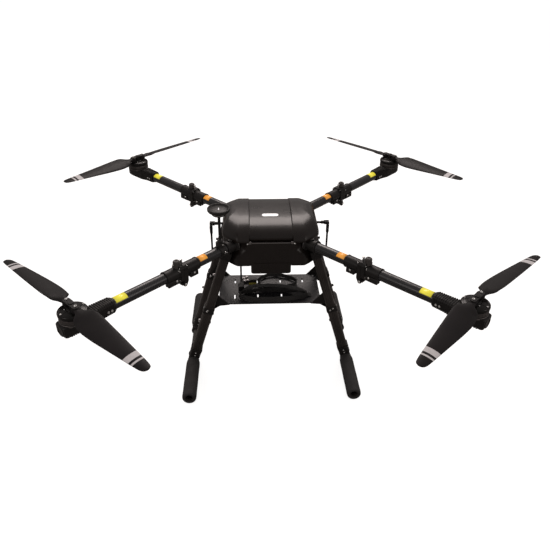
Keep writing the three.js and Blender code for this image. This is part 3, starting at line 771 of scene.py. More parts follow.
def rotor(corner, look):
    """Motor bell: a ribbed lower ring, a gap, a domed dark cover with screws, and the blades' clamp."""
    place = rotor_place(corner)
    body = f"{corner}_rotor"
    lower = Shape()
    lower.revolve([(31.8, 15.4), (33.6, 15.4), (34.1, 16), (34.1, 25.6), (33.6, 26.4), (31.8, 26.4)], "Z",
                  steps=64, closed=True)
    for k in range(24):
        turn = Matrix.Rotation(2 * math.pi * k / 24, 4, "Z")
        rib = Shape().box((33.6, -1.1, 17.4), (34.5, 1.1, 24.6))
        merge(lower, rib.turned(turn))
    lower.piece(f"{corner}_bell_ring", place, look["ring"], body, bevel=0.25, nodes=[f"{corner}_rotor"],
                slot="black_metal")
    bell = Shape()
    bell.revolve([(31.6, 26.4), (33, 26.8), (33, 28.2), (34.8, 28.6), (35.3, 29.3), (35.3, 33), (34.9, 35),
                  (33.9, 36.6), (32.2, 37.6),
                  (29.6, 38.1), (29, 37.7), (28.2, 38.1), (16, 38.6), (15.2, 39.4), (0, 39.4)], "Z",
                  steps=72)
    for k in range(6):
        turn = Matrix.Rotation(math.radians(30 + 60 * k), 4, "Z")
        scoop = Shape().prism(stadium(4.6, 1.6), 38.0, 38.9).turned(Matrix.Translation((22.5, 0, 0)))
        merge(bell, scoop.turned(turn))
    bell.piece(f"{corner}_bell", place, look["bell"], body, bevel=0.3, sharp=30)

    clamp = Shape()
    clamp.prism(stadium(PIVOT_REACH, 9), 39.2, 42.6)
    clamp.revolve([(12.5, 38), (12.5, 40.4), (11.2, 41.2), (0, 41.2)], "Z", steps=32)
    clamp.prism(stadium(PIVOT_REACH, 8.6), 53.4, 55.6)
    clamp.revolve([(6.4, 41), (6.4, 54)], "Z", steps=24)
    clamp.revolve([(7, 55.2), (7, 56.8), (6, 57.6), (0, 57.6)], "Z", steps=28)
    clamp.piece(f"{corner}_blade_clamp", place, look["metal"], body, bevel=0.6)

    bright = Shape()
    for sign in (-1, 1):
        bright.screw((sign * PIVOT_REACH, 0, 55.6), "Z", 3.7, 3.2)
        bright.revolve([(3, 41), (3, 55)], "Z", (sign * PIVOT_REACH, 0, 0), 14)
        bright.screw((0, sign * 29.2, 38), "Z", 2.6, 1.7)
    for angle in (0, 180, 52, 232):
        reach = 29.2 if angle in (0, 180) else 17
        turn = math.radians(angle)
        bright.screw((reach * math.cos(turn), reach * math.sin(turn), 38.3), "Z", 2.1, 1.5)
    bright.piece(f"{corner}_rotor_screws", place, look["steel"], body)


def merge(target, other):
    """Adds another shape's geometry to target."""
    data = bpy.data.meshes.new("merge")
    other.mesh.to_mesh(data)
    other.mesh.free()
    target.mesh.from_mesh(data)
    bpy.data.meshes.remove(data)


# share of the blade's length, chord, thickness and how far the chord's middle sits behind the pivot
BLADE_STATIONS = [
    (0.0, 19, 9.4, 0), (0.04, 20, 9.0, 0), (0.07, 27, 8.4, 0), (0.095, 41, 7.6, 1), (0.13, 52, 6.8, 2),
    (0.19, 58, 6.0, 3), (0.28, 59, 5.2, 4), (0.42, 54, 4.4, 4), (0.58, 46, 3.6, 3), (0.74, 37.5, 3.0, 2),
    (0.88, 30, 2.5, 1), (0.95, 25, 2.2, 0.5), (0.98, 20, 2.0, 0), (0.993, 13, 1.6, 0), (1.0, 5, 1.0, 0),
]


def catmull_rom(a, b, c, d, t):
    """The smooth value at share t of the way from b to c."""
    square = 2 * a - 5 * b + 4 * c - d
    cube = 3 * b - a - 3 * c + d
    return 0.5 * (2 * b + (c - a) * t + square * t * t + cube * t ** 3)


def smooth_stations(stations, count):
    """Even steps through given stations, by Catmull-Rom."""
    result = []
    last = len(stations) - 1
    for k in range(count + 1):
        place = k / count * last
        i = min(int(place), last - 1)
        t = place - i
        p0, p1, p2, p3 = (stations[min(max(j, 0), last)] for j in (i - 1, i, i + 1, i + 2))
        result.append([catmull_rom(*values, t) for values in zip(p0, p1, p2, p3)])
    return result


def blade(corner, letter, look):
    """A twisted, tapering blade lofted through BLADE_STATIONS, with the boss of its pivot."""
    pivot = joint_place(f"{corner}_blade_{letter}_fold")
    heading = blade_heading(corner, letter)
    place = Matrix.Translation(pivot) @ Matrix.Rotation(heading, 4, "Z")
    spin = 1 if corner in ("front_left", "rear_right") else -1
    length = PROP_R - PIVOT_REACH
    sides = 20
    sections = []
    shares = []
    for share, chord, thick, back in smooth_stations(BLADE_STATIONS, 44):
        pitch = spin * math.radians(19 - 11 * share) * min(1.0, max(0.0, (share - 0.05) / 0.1))
        points = []
        for k in range(sides):
            angle = 2 * math.pi * k / sides
            across = chord / 2 * math.cos(angle)
            camber = 0.035 * chord * (1 - (2 * across / max(chord, 1)) ** 2) * min(1, share * 8)
            lift = thick / 2 * math.sin(angle) * (1 - 0.35 * math.cos(angle) * spin) + camber
            across = across - spin * back
            y = across * math.cos(pitch) - lift * math.sin(pitch)
            z = across * math.sin(pitch) + lift * math.cos(pitch)
            points.append(Vector((share * length, y, z)))
        sections.append(points)
        shares.append((PIVOT_REACH + share * length) / PROP_R)
    skin = Shape().loft(sections, uv=lambda ring, side: (shares[ring], side / sides))
    skin.revolve([(9.6, -5), (10.8, -4.2), (10.8, 4.2), (9.6, 5)], "Z", steps=36)
    skin.piece(f"{corner}_blade_{letter}_skin", place, look["blade"], f"{corner}_blade_{letter}",
               sharp=50, nodes=[f"{corner}_blade_{letter}"], slot="propeller")


def blade_heading(corner, letter):
    """The way a blade points, from its pivot to the middle of its outer half."""
    pivot = joint_place(f"{corner}_blade_{letter}_fold")
    vertices = frame["nodes"][f"{corner}_blade_{letter}"].data.vertices
    tip = max((vertex.co / MM for vertex in vertices), key=lambda point: (point.xy - pivot.xy).length)
    far = [v.co / MM for v in vertices if (v.co.xy / MM - tip.xy).length < 12]
    middle = sum((point.xy for point in far), Vector((0, 0))) / len(far)
    return math.atan2(middle.y - pivot.y, middle.x - pivot.x)


# ------------------------------------------------------------------ body
# the centre strip of both shells keeps its width at every level, and the lobes stand RIDGE outside it
STRIP_X = 61
RIDGE = 2.6


def shell_ring(half_x, half_y, corner, spread_x, scale_y, z, recess, drop):
    """One level of a body shell: a chamfered outline whose centre strip lies recess inside its lobes."""
    front = [(STRIP_X + RIDGE, -half_y)]
    knots = [(half_x - corner * 0.92, -half_y), (half_x - corner * 0.78, -half_y + 1.5),
             (half_x - corner * 0.42, -half_y + corner * 0.34),
             (half_x - corner * 0.12, -half_y + corner * 0.68), (half_x - 1.2, -half_y + corner * 0.86),
             (half_x, -half_y + corner * 1.05)]
    knots = [knot for knot in knots if knot[0] > STRIP_X + RIDGE + 1]
    dense = smooth_stations(front + knots, 22)
    quarter = [(STRIP_X + RIDGE + (x - STRIP_X - RIDGE) * spread_x, y * scale_y) for x, y in dense]
    side_y = quarter[-1][1]
    side = [(quarter[-1][0], side_y + (0 - side_y) * k / 4) for k in range(1, 4)]
    half_right = quarter + side + [(quarter[-1][0], 0)]
    half_right += [(x, -y) for x, y in reversed(quarter + side)]
    y_in = half_y * scale_y - recess
    back_strip = [(STRIP_X - 2 * STRIP_X * k / 8, y_in) for k in range(9)]
    left = [(-x, -y) for x, y in half_right]
    front_strip = [(-STRIP_X + 2 * STRIP_X * k / 8, -y_in) for k in range(9)]
    ring_points = []
    for x, y in half_right + back_strip + left + front_strip:
        centre = abs(x) <= STRIP_X + 0.01
        ring_points.append(Vector((x, y, z - (drop if centre else 0))))
    return ring_points


def canopy(look):
    """The barrel-shaped cover: raised side lobes, a centre strip set back at the seam, and its trim."""
    corner = 54
    # height above the seam, spread of the lobes, scale front to back, how far the strip is set back and down
    levels = [
        (0, 0.98, 0.975, 11, 0), (0.8, 0.995, 0.99, 10.6, 0), (2.5, 1.0, 1.0, 10, 0),
        (8, 1.0, 0.992, 7.4, 0), (14, 0.99, 0.966, 5.2, 0.2),
        (20, 0.972, 0.925, 3.8, 0.5), (26.6, 0.94, 0.855, 2.8, 1), (32.4, 0.895, 0.77, 2.4, 1.6),
        (37.6, 0.83, 0.665, 2.2, 2.4),
        (41.8, 0.75, 0.53, 1.8, 3.2), (44.8, 0.64, 0.38, 1.2, 3.8), (46.4, 0.5, 0.2, 0.5, 4.2),
        (46.9, 0.4, 0.0, 0, 4.4),
    ]
    skin = Shape()
    skin.quads([shell_ring(BODY_HALF_X, BODY_HALF_Y, corner, spread_x, max(scale_y, 0.0), SEAM_Z + height,
                           recess, drop)
                for height, spread_x, scale_y, recess, drop in smooth_stations(levels, 44)])
    bmesh.ops.remove_doubles(skin.mesh, verts=skin.mesh.verts[:], dist=0.05)
    skin.piece("canopy_skin", IDENTITY, look["shell"], "airframe", sharp=32, nodes=["canopy"],
               slot="shell_plastic")

    badge = Shape().prism(stadium(17, 7.5), 0, 0.7)
    place = Matrix.Translation((0, -36, SEAM_Z + 41.7)) @ Matrix.Rotation(math.radians(4), 4, "X")
    badge.piece("canopy_badge", place, look["white"], "airframe", bevel=0.15)

    trim = Shape()
    for end in (-1, 1):
        y = end * (BODY_HALF_Y - 2.6)
        trim.box((-56, y - 1.3, SEAM_Z - 1.6), (56, y + 1.3, SEAM_Z + 1.2))
        for x in (-62, 62):
            merge(trim, rounded_bar(x - 5, x + 5, (y - 2, SEAM_Z - 3.6), (y + 2.6, SEAM_Z + 4.4), 1.2))
    trim.piece("canopy_seam_trim", IDENTITY, look["dark_steel"], "airframe", bevel=0.4)
    clips = Shape()
    for end in (-1, 1):
        for x in (-68, 68):
            clips.screw((x, end * (BODY_HALF_Y - 0.6), SEAM_Z - 1.6), "Y" if end > 0 else "-Y", 2.2, 1.6)
    clips.piece("canopy_clip_screws", IDENTITY, look["steel"], "airframe")


def lower_shell(look):
    """The tub under the seam, cut back at its corners for the arm sockets, and its keel."""
    # height, spread of the lobes, scale front to back, size of the corner
    levels = [
        (SEAM_Z - 0.6, 0.97, 0.985, 92), (SEAM_Z - 6, 0.985, 0.99, 92), (222, 0.99, 0.995, 84),
        (207, 0.995, 1, 68), (191, 0.995, 1, 56),
        (178, 0.985, 0.997, 52), (169.5, 0.965, 0.988, 52), (165, 0.93, 0.97, 50),
        (162.4, 0.87, 0.935, 48), (161.2, 0.78, 0.86, 46),
        (BELLY_Z, 0.3, 0.4, 46), (BELLY_Z, 0.1, 0.0, 40),
    ]
    skin = Shape()
    rings = [shell_ring(BODY_HALF_X, BODY_HALF_Y, corner, spread_x, max(scale_y, 0), z, 1.2, 0)
             for z, spread_x, scale_y, corner in smooth_stations(levels, 40)]
    skin.quads(rings)
    skin.mesh.verts.ensure_lookup_table()
    skin.mesh.faces.new(skin.mesh.verts[: len(rings[0])])
    bmesh.ops.remove_doubles(skin.mesh, verts=skin.mesh.verts[:], dist=0.05)
    keel = []
    for z, inset, radius in ((175, 0, 7), (KEEL_Z + 5, 0, 7), (KEEL_Z + 2.4, 0.6, 7),
                             (KEEL_Z + 0.7, 2.2, 6.4), (KEEL_Z, 5, 5)):
        outline = rounded_box(KEEL_HALF_X - inset, KEEL_HALF_Y - inset, radius, 5)
        keel.append([Vector((a, b, z)) for a, b in outline])
    skin.loft(keel)
    skin.piece("lower_shell_skin", IDENTITY, look["shell"], "airframe", sharp=32, nodes=["lower_shell"],
               slot="shell_plastic")

    x, y = LEAD_PATH[0][:2]
    top = BELLY_Z + 0.6
    gland = Shape().revolve([(4.6, top - 11.8), (5.2, top - 11.2), (5.2, top - 6.6), (7.4, top - 6),
                             (7.4, top)], "Z", (x, y, 0), 6)
    gland.revolve([(3.4, top - 12.4), (4.4, top - 12), (4.6, top - 10.8)], "Z", (x, y, 0), 24)
    gland.piece("power_gland", IDENTITY, look["plastic"], "airframe", bevel=0.3)
    screws = Shape()
    for x in (-44, 44):
        for y in (-112, 112):
            screws.screw((x, y, KEEL_Z + 0.2), "-Z", 3.2, 1.6)
    screws.piece("keel_screws", IDENTITY, look["dark_steel"], "airframe")


def centre_frame(look):
    """The plates between the shells, the arms' ring sockets and the legs' pockets."""
    metal, bright = Shape(), Shape()
    for z in (ARM_Z - 22, ARM_Z + 19):
        metal.prism(rounded_box(104, 112, 50, 6), z, z + 3)
    for side, end in CORNERS.values():
        place = Matrix.Rotation(math.atan2(end, side), 4, "Z")
        place.translation = (0, 0, ARM_Z)
        socket = Shape().revolve(ring(18.2, TUBE_R + 0.3, 118, SOCKET_END + 2, 1), "X", steps=44,
                                 closed=True)
        socket.revolve(ring(19.4, TUBE_R + 0.3, SOCKET_END - 5, SOCKET_END + 1, 1.4), "X", steps=44,
                       closed=True)
        socket.revolve([(22, 149), (22.8, 150), (22.8, 154), (20.6, 157), (17, 159), (17, 149)], "X",
                       steps=44, closed=True)
        socket.box((160, -3.5, 16), (174, 3.5, 21.6))
        merge(metal, socket.turned(place))
        rim = Shape().revolve(ring(23.3, 21.8, 150.6, 153.4, 0.7), "X", steps=44, closed=True)
        rim.screw((167, -3.5, 19), "-Y", 2, 2)
        rim.screw((167, 3.5, 19), "Y", 2, 2)
        merge(bright, rim.turned(place))
        half = LEG_SIDE / 2 + 1.6
        merge(metal, Shape().prism(rounded_box(half, half, 4), -6, 18).turned(leg_place(side, end)))
    metal.piece("centre_frame_metal", IDENTITY, look["metal"], "airframe", bevel=0.4,
                nodes=["centre_frame"], slot="black_metal")
    bright.piece("arm_socket_rims", IDENTITY, look["dark_steel"], "airframe")


# ------------------------------------------------------------------ antennas and positioning mast
MAST_REACH = 205
PUCK_Z = node_box("gps_puck")[0].z - ARM_Z
PUCK_R = (node_box("gps_puck")[1].x - node_box("gps_puck")[0].x) / 2


def positioning_mast(look):
    place = arm_place("front_left") @ Matrix.Translation((MAST_REACH, 0, 0))
    base = Shape()
    base.revolve(ring(18.2, TUBE_R + 0.25, -10, 10, 1.2), "X", steps=40, closed=True)
    base.prism(rounded_box(10, 10, 3), 15, 30)
    base.revolve([(8, 30), (8, 34), (6, 37), (4.2, 37)], "Z", steps=24)
    for sign in (-1, 1):
        base.box((-7, sign * 22 - 4, -3), (7, sign * 22 + 4, 3))
    base.piece("mast_base", place, look["plastic"], "airframe", bevel=0.6, nodes=["gps_mast"],
               slot="black_plastic")
    pole = Shape().revolve([(3.9, 30), (3.9, PUCK_Z - 9)], "Z", steps=24)
    pole.revolve([(4.0, PUCK_Z - 18), (6.5, PUCK_Z - 14), (7.5, PUCK_Z - 9.5), (18.4, PUCK_Z - 8.6),
                  (19.2, PUCK_Z - 7.6),
                  (19.2, PUCK_Z - 4.4), (18.4, PUCK_Z - 3.6), (10, PUCK_Z - 3.4), (10, PUCK_Z + 0.5)], "Z",
                  steps=44)
    pole.piece("mast_pole", place, look["metal"], "airframe", sharp=30)
    bright = Shape()
    bright.revolve(ring(19.35, 17, PUCK_Z - 5.2, PUCK_Z - 4.0, 0.3), "Z", steps=44, closed=True)
    for sign in (-1, 1):
        bright.screw((0, sign * 22, 3), "Z", 2.2, 2)
    bright.screw((0, 10, 24), "Y", 2.4, 2)
    bright.screw((0, -10, 24), "-Y", 2.4, 2)
    bright.piece("mast_screws", place, look["steel"], "airframe")

    top = PUCK_Z + 12
    puck = Shape().revolve([
        (8, PUCK_Z), (PUCK_R - 7, PUCK_Z), (PUCK_R - 3.2, PUCK_Z + 1.6), (PUCK_R - 0.8, PUCK_Z + 4.6),
        (PUCK_R, PUCK_Z + 8),
        (PUCK_R - 0.3, PUCK_Z + 10.6), (PUCK_R - 1.2, top - 0.3), (PUCK_R - 2.2, top),
        (PUCK_R - 3.4, top - 0.4), (PUCK_R - 4.2, top - 1.4),
        (PUCK_R - 5.2, top - 3.0), (PUCK_R - 8, top - 3.8), (PUCK_R - 8.8, top - 4.6),
        (PUCK_R - 10, top - 3.9), (6, top - 3.2), (0, top - 3.1),
    ], "Z", steps=72)
    puck.piece("positioning_puck", place, look["plastic"], "airframe", sharp=50, nodes=["gps_puck"],
               slot="black_plastic")
    mark = Shape()
    mark.prism(stadium(5, 1.3), top - 3.3, top - 2.9)
    mark.piece("puck_mark", place @ Matrix.Rotation(math.radians(45), 4, "Z"), look["white"], "airframe")


def antennas(look):
    elbow_x = abs(JOINTS["antenna_whip_left_swing"]["pos_m"][0]) / MM
    elbow_z = JOINTS["antenna_whip_left_swing"]["pos_m"][2] / MM
    bar = Shape().revolve([(3.5, -elbow_x + 9), (3.5, elbow_x - 9)], "X", (0, 0, elbow_z), 24)
    for side in (-1, 1):
        bar.revolve([(4.6, -6), (5, -5.4), (5, 5.4), (4.6, 6)], "X", (side * (elbow_x - 15), 0, elbow_z), 6)
        x0, x1 = sorted((side * (elbow_x - 12), side * (elbow_x + 3.6)))
        for y0 in (-6.6, 3.8):
            bar.box((x0, y0, elbow_z - 4.3), (x1, y0 + 2.8, elbow_z + 4.3))
        x0, x1 = sorted((side * (elbow_x - 12), side * (elbow_x - 7.5)))
        bar.box((x0, -6.6, elbow_z - 4.3), (x1, 6.6, elbow_z + 4.3))
        bar.screw((side * elbow_x, -6.6, elbow_z), "-Y", 2.6, 1.4)
        bar.screw((side * elbow_x, 6.6, elbow_z), "Y", 2.6, 1.4)
    bar.piece("antenna_bar_skin", IDENTITY, look["plastic"], "airframe", bevel=0.5, nodes=["antenna_bar"],
              slot="black_plastic")
    for side, name in ((-1, "left"), (1, "right")):
        whip = Shape()
        whip.revolve([(3.2, -3.4), (3.6, -3), (3.6, 3), (3.2, 3.4)], "Y", steps=24)
        whip.prism(rounded_box(2.6, 2.6, 0.8), -9, 0)
        whip.revolve([(2.6, -7), (4.2, -7.6), (4.6, -9), (4.6, -31), (4.2, -33.4), (3.6, -34.6), (3.1, -36),
                      (2.9, -105), (2.4, -107), (1.4, -108), (0, -108)], "Z", steps=28)
        for z in (-12, -15, -18):
            whip.revolve(ring(4.9, 4.2, z - 0.8, z + 0.8, 0.3), "Z", steps=28, closed=True)
        whip.piece(f"antenna_whip_{name}_skin", Matrix.Translation((side * elbow_x, 0, elbow_z)),
                   look["rubber"],
                   f"antenna_whip_{name}", sharp=40, nodes=[f"antenna_whip_{name}"], slot="antenna_rubber")


# ------------------------------------------------------------------ landing gear
def ribbed_square(half):
    """Outline of an extruded leg: rounded corners and three ribs along each face."""
    groove, lip = 1.1, 0.5
    side = [(-half, -half + 5)]
    for centre in (-5.4, 0, 5.4):
        side += [(-half + groove, centre - 2.2 - lip), (-half + groove, centre - 2.2),
                 (-half, centre - 1.5), (-half, centre + 1.5),
                 (-half + groove, centre + 2.2)]
    side += [(-half, half - 5), (-half + 1.6, half - 1.6)]
    points = []
    for quarter in range(4):
        angle = -quarter * math.pi / 2
        points += [(x * math.cos(angle) - y * math.sin(angle),
                    x * math.sin(angle) + y * math.cos(angle)) for x, y in side]
    return list(reversed(points))


def landing_leg(corner, look):
    """An upper leg that slides into a wider lower one, their bolts, and the tee joint on the skid."""
    side, end = CORNERS[corner]
    place = leg_place(side, end)
    length = (LEG_TOP - LEG_FOOT).length
    middle = length * 0.465
    skin = Shape().prism(ribbed_square(LEG_SIDE / 2 - 0.4), 5, middle + 6)
    skin.prism(ribbed_square(LEG_SIDE / 2 + 1.4), middle, length - SKID_R - 4)
    skin.piece(f"{corner}_leg_skin", place, look["leg"], "airframe", bevel=0.3, nodes=[f"{corner}_leg"],
               slot="black_metal")

    # local X points inwards on the right and outwards on the left
    outward = -side
    knobs, heads = Shape(), Shape()
    for along, half in ((length * 0.2, 13.6), (length * 0.625, 15.4)):
        for sign in (outward, -outward):
            near, tall = sign * half, sign * (half + (6.5 if sign == outward else 3))
            knobs.revolve([(5.4, near - sign * 1), (5.4, near + sign * 1.2), (4.2, near + sign * 1.6),
                           (4.2, tall - sign * 1), (3.4, tall), (0, tall)],
                          "X", (0, 0, along), 6)
    heads.screw((outward * 15.4, -4, middle + 12), "X" if outward > 0 else "-X", 2.8, 2.4)
    for y in (-15.4, 15.4):
        heads.screw((outward * 4, y, middle + 12), "Y" if y > 0 else "-Y", 2.8, 2.4)
    knobs.piece(f"{corner}_leg_bolts", place, look["dark_steel"] if side < 0 else look["rubber"],
                "airframe", bevel=0.3)
    heads.piece(f"{corner}_leg_screws", place, look["steel"], "airframe")

    tee = Shape()
    half = LEG_SIDE / 2 + 3.4
    tee.prism(rounded_box(half, half, 6), length - 48, length - 14)
    tee.prism(rounded_box(half + 1.4, half + 1.4, 7), length - 48, length - 42)
    tee.piece(f"{corner}_tee_stub", place, look["plastic"], "airframe", bevel=0.8,
              nodes=[f"{corner}_tee_joint"], slot="black_plastic")
    collar = Shape()
    foot = (side * LEG_FOOT.x, end * LEG_FOOT.y, LEG_FOOT.z)
    collar.revolve(ring(SKID_R + 5, SKID_R + 0.2, -20, 20, 1.4), "Y", foot, 44, closed=True)
    for y in (-17.5, 14.5):
        collar.revolve(ring(SKID_R + 6.4, SKID_R + 3, y, y + 4, 0.8), "Y", foot, 44, closed=True)
    collar.piece(f"{corner}_tee_collar", IDENTITY, look["plastic"], "airframe", sharp=30)
    bright = Shape()
    for along in (length - 37, length - 25):
        for sign in (-1, 1):
            bright.screw((0, sign * half, along), "Y" if sign > 0 else "-Y", 2.5, 2)
            bright.screw((sign * half, 0, along), "X" if sign > 0 else "-X", 2.5, 2)
    bright.piece(f"{corner}_tee_screws", place, look["steel"], "airframe")


def skid(side, look):
    name = "left" if side < 0 else "right"
    tube = Shape().revolve(ring(SKID_R, SKID_R - 1.6, -272, 272, 0.4), "Y", (side * SKID_X, 0, SKID_Z), 44,
                           closed=True)
    tube.piece(f"{name}_skid_tube_skin", IDENTITY, look["leg"], "airframe", nodes=[f"{name}_skid_tube"],
               slot="carbon_tube")


def foam_grip(corner, look):
    """Closed-cell foam sleeve, slightly swollen and drawn in at the shoulder by the joint."""
    side, end = CORNERS[corner]
    outside = [(SKID_R + 3.2, 101), (SKID_R + 6.4, 102), (GRIP_R - 1.6, 105.5), (GRIP_R - 0.4, 111),
               (GRIP_R, 124),
               (GRIP_R - 0.25, 160), (GRIP_R, 200), (GRIP_R - 0.2, 240), (GRIP_R, 262),
               (GRIP_R - 0.5, 270.5), (GRIP_R - 2, 274), (GRIP_R - 4, 275)]
    dense = smooth_stations(outside, 44)
    profile = [(r, end * y) for r, y in dense] + [(SKID_R + 1.2, end * 275), (SKID_R + 0.2, end * 274),
                                                  (SKID_R + 0.2, end * 102)]
    grip = Shape().revolve(profile, "Y", (side * SKID_X, 0, SKID_Z), 56, closed=True)
    piece = grip.piece(f"{corner}_foam_sleeve", IDENTITY, look["foam"], "airframe", sharp=60,
                       nodes=[f"{corner}_foam_grip"], slot="foam")


# ------------------------------------------------------------------ tray, rails and what lies on the tray
def upright_edges(mesh):
    """The corner edges that run through a plate's thickness."""
    return [edge for edge in mesh.edges
            if abs(edge.verts[0].co.z - edge.verts[1].co.z) > 1 and edge.calc_face_angle(0) > 1]


def payload_tray(look):
    """Flat carbon plate with rounded corners and eight strap slots."""
    half_x, half_y = TRAY_HIGH.x, TRAY_HIGH.y
    slots_x, slots_y = (-112, -38, 38, 112), (-45, 45)
    xs = sorted([-half_x, half_x] + [x + d for x in slots_x for d in (-2.1, 2.1)])
    ys = sorted([-half_y, half_y] + [y + d for y in slots_y for d in (-12, 12)])
    plate = Shape()
    grid = [[plate.mesh.verts.new((x, y, TRAY_HIGH.z)) for y in ys] for x in xs]
    for i in range(len(xs) - 1):
        for k in range(len(ys) - 1):
            middle = ((xs[i] + xs[i + 1]) / 2, (ys[k] + ys[k + 1]) / 2)
            if any(abs(middle[0] - x) < 1 and abs(middle[1] - y) < 1 for x in slots_x for y in slots_y):
                continue
            plate.mesh.faces.new([grid[i][k], grid[i + 1][k], grid[i + 1][k + 1], grid[i][k + 1]])
    made = bmesh.ops.extrude_face_region(plate.mesh, geom=plate.mesh.faces[:])
    lowered = [item for item in made["geom"] if isinstance(item, bmesh.types.BMVert)]
    bmesh.ops.translate(plate.mesh, verts=lowered, vec=(0, 0, TRAY_LOW.z - TRAY_HIGH.z))
    bmesh.ops.recalc_face_normals(plate.mesh, faces=plate.mesh.faces)
    slot_corners = [edge for edge in upright_edges(plate.mesh) if abs(edge.verts[0].co.x) <= half_x - 1]
    bmesh.ops.bevel(plate.mesh, geom=slot_corners, offset=1.9, segments=5, affect="EDGES", profile=0.5)
    plate_corners = [edge for edge in upright_edges(plate.mesh) if abs(edge.verts[0].co.x) > half_x - 1]
    bmesh.ops.bevel(plate.mesh, geom=plate_corners, offset=9, segments=8, affect="EDGES", profile=0.5)
    plate.piece("payload_tray_plate", IDENTITY, look["plate"], "airframe", bevel=0.35,
                nodes=["payload_tray"], slot="carbon_plate")
    bright = Shape()
    for x in (-150, 150):
        for y in (-71, 71):
            bright.screw((x, y, TRAY_HIGH.z), "Z", 3, 2)
    bright.piece("tray_screws", IDENTITY, look["steel"], "airframe")


def tray_rail(end, look):
    name = "front" if end < 0 else "rear"
    strip_top = TRAY_LOW.z - 0.3
    y0, y1 = sorted((end * 57, end * 79))
    metal = Shape()
    metal.box((-178, y0, strip_top - 5), (178, y1, strip_top))
    metal.box((-160, (y0 + y1) / 2 - 6, strip_top - 7), (160, (y0 + y1) / 2 + 6, strip_top - 4))
    bright = Shape()
    share = (LEG_TOP.z - strip_top) / (LEG_TOP.z - LEG_FOOT.z)
    along = (LEG_TOP - LEG_FOOT).length * share
    half = LEG_SIDE / 2 + 2.6
    for side in (-1, 1):
        # a gusset stands beside the tray's end edge: a triangle above it and a short tail under it
        y_in, y_out = sorted((end * 83.6, end * 88))
        gusset = [(132, 0.4), (164, 36), (178, 36), (192, 8), (200, -22), (186, -24), (158, -6), (128, -3)]
        metal.prism([(z, side * x) for x, z in gusset], y_in, y_out, "Y")
        y_in, y_out = sorted((end * 57, end * 88))
        x_in, x_out = sorted((side * 166, side * 184))
        metal.box((x_in, y_in, strip_top - 8), (x_out, y_out, strip_top - 0.2))
        place = leg_place(side, end)
        collar = Shape().prism(rounded_box(half, half, 5), along - 7, along + 14)
        collar.prism(rounded_box(half + 1, half + 1, 5.6), along + 10, along + 14)
        merge(metal, collar.turned(place))
        for sign in (-1, 1):
            screw = Shape().screw((6, sign * half, along + 4), "Y" if sign > 0 else "-Y", 2.8, 2.2)
            merge(bright, screw.turned(place))
    metal.piece(f"{name}_rail_metal", IDENTITY, look["metal"], "airframe", bevel=0.8,
                nodes=[f"{name}_tray_rail"], slot="black_metal")
    bright.piece(f"{name}_rail_screws", IDENTITY, look["steel"], "airframe")


def strap_loop(name, points, height, thick, look, lean=0.0):
    """A closed band of webbing standing on its edge. points are the plan of its lower edge."""
    dense = smooth_stations(points + points[:1], 12 * len(points))[:-1]
    band = Shape()
    rings = []
    count = len(dense)
    lengths = [0.0]
    for k in range(count):
        a, b = dense[k], dense[(k + 1) % count]
        lengths.append(lengths[-1] + math.dist(a, b))
    centre = (sum(p[0] for p in dense) / count, sum(p[1] for p in dense) / count)
    for k in range(count):
        before, after = dense[k - 1], dense[(k + 1) % count]
        along = Vector((after[0] - before[0], after[1] - before[1], 0)).normalized()
        out = Vector((along.y, -along.x, 0))
        if out.dot(Vector((dense[k][0] - centre[0], dense[k][1] - centre[1], 0))) < 0:
            out = -out
        foot = Vector((dense[k][0], dense[k][1], TRAY_HIGH.z + 0.4 + 1.2 * math.sin(k * 0.21) ** 2))
        head = foot + Vector((0, 0, height)) + out * lean
        rings.append([foot, head, head - out * thick, foot - out * thick])

    def uv(ring_at, edge):
        return (0 if edge % 4 in (0, 3) else height) * MM, lengths[min(ring_at, count)] * MM

    band.quads(rings, closed_along=True, uv=uv)
    band.piece(name, IDENTITY, look["strap"], "airframe", bevel=0.3, sharp=50)


def flat_strap(name, points, width, thick, look):
    """A length of webbing that lies along 3-D points with its width level."""
    dense = [Vector(point) for point in smooth_stations(points, 10 * len(points))]
    rings, lengths = [], [0.0]
    for k, point in enumerate(dense):
        before, after = dense[max(k - 1, 0)], dense[min(k + 1, len(dense) - 1)]
        along = (after - before).normalized()
        across = along.cross(Vector((0, 0, 1))).normalized() * width / 2
        up = across.cross(along).normalized() * thick
        rings.append([point - across, point + across, point + across + up, point - across + up])
        lengths.append(lengths[-1] + (after - before).length / 2)
    strap = Shape().loft(rings, uv=lambda ring_at,
                         edge: ((0 if edge % 4 in (0, 3) else width) * MM, lengths[ring_at] * MM))
    strap.piece(name, IDENTITY, look["strap"], "airframe", bevel=0.3, sharp=50)


def wire(name, points, radius, material, exit_point, nodes=()):
    """A round lead along smooth points."""
    dense = [Vector(point) * MM for point in smooth_stations(points, max(18, 4 * len(points)))]
    curve = bpy.data.curves.new(name, "CURVE")
    curve.dimensions = "3D"
    spline = curve.splines.new("POLY")
    spline.points.add(len(dense) - 1)
    for point, place in zip(spline.points, dense):
        point.co = (*place, 1)
    curve.bevel_depth = radius * MM
    curve.bevel_resolution = 5
    curve.use_fill_caps = True
    curve.materials.append(material)
    piece = bpy.data.objects.new(name, curve)
    bpy.context.scene.collection.objects.link(piece)
    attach(piece, "airframe")
    if nodes:
        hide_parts(*nodes)
    length = sum((b - a).length for a, b in zip(dense, dense[1:]))
    tuple(Vector(exit_point) * MM)
    return piece


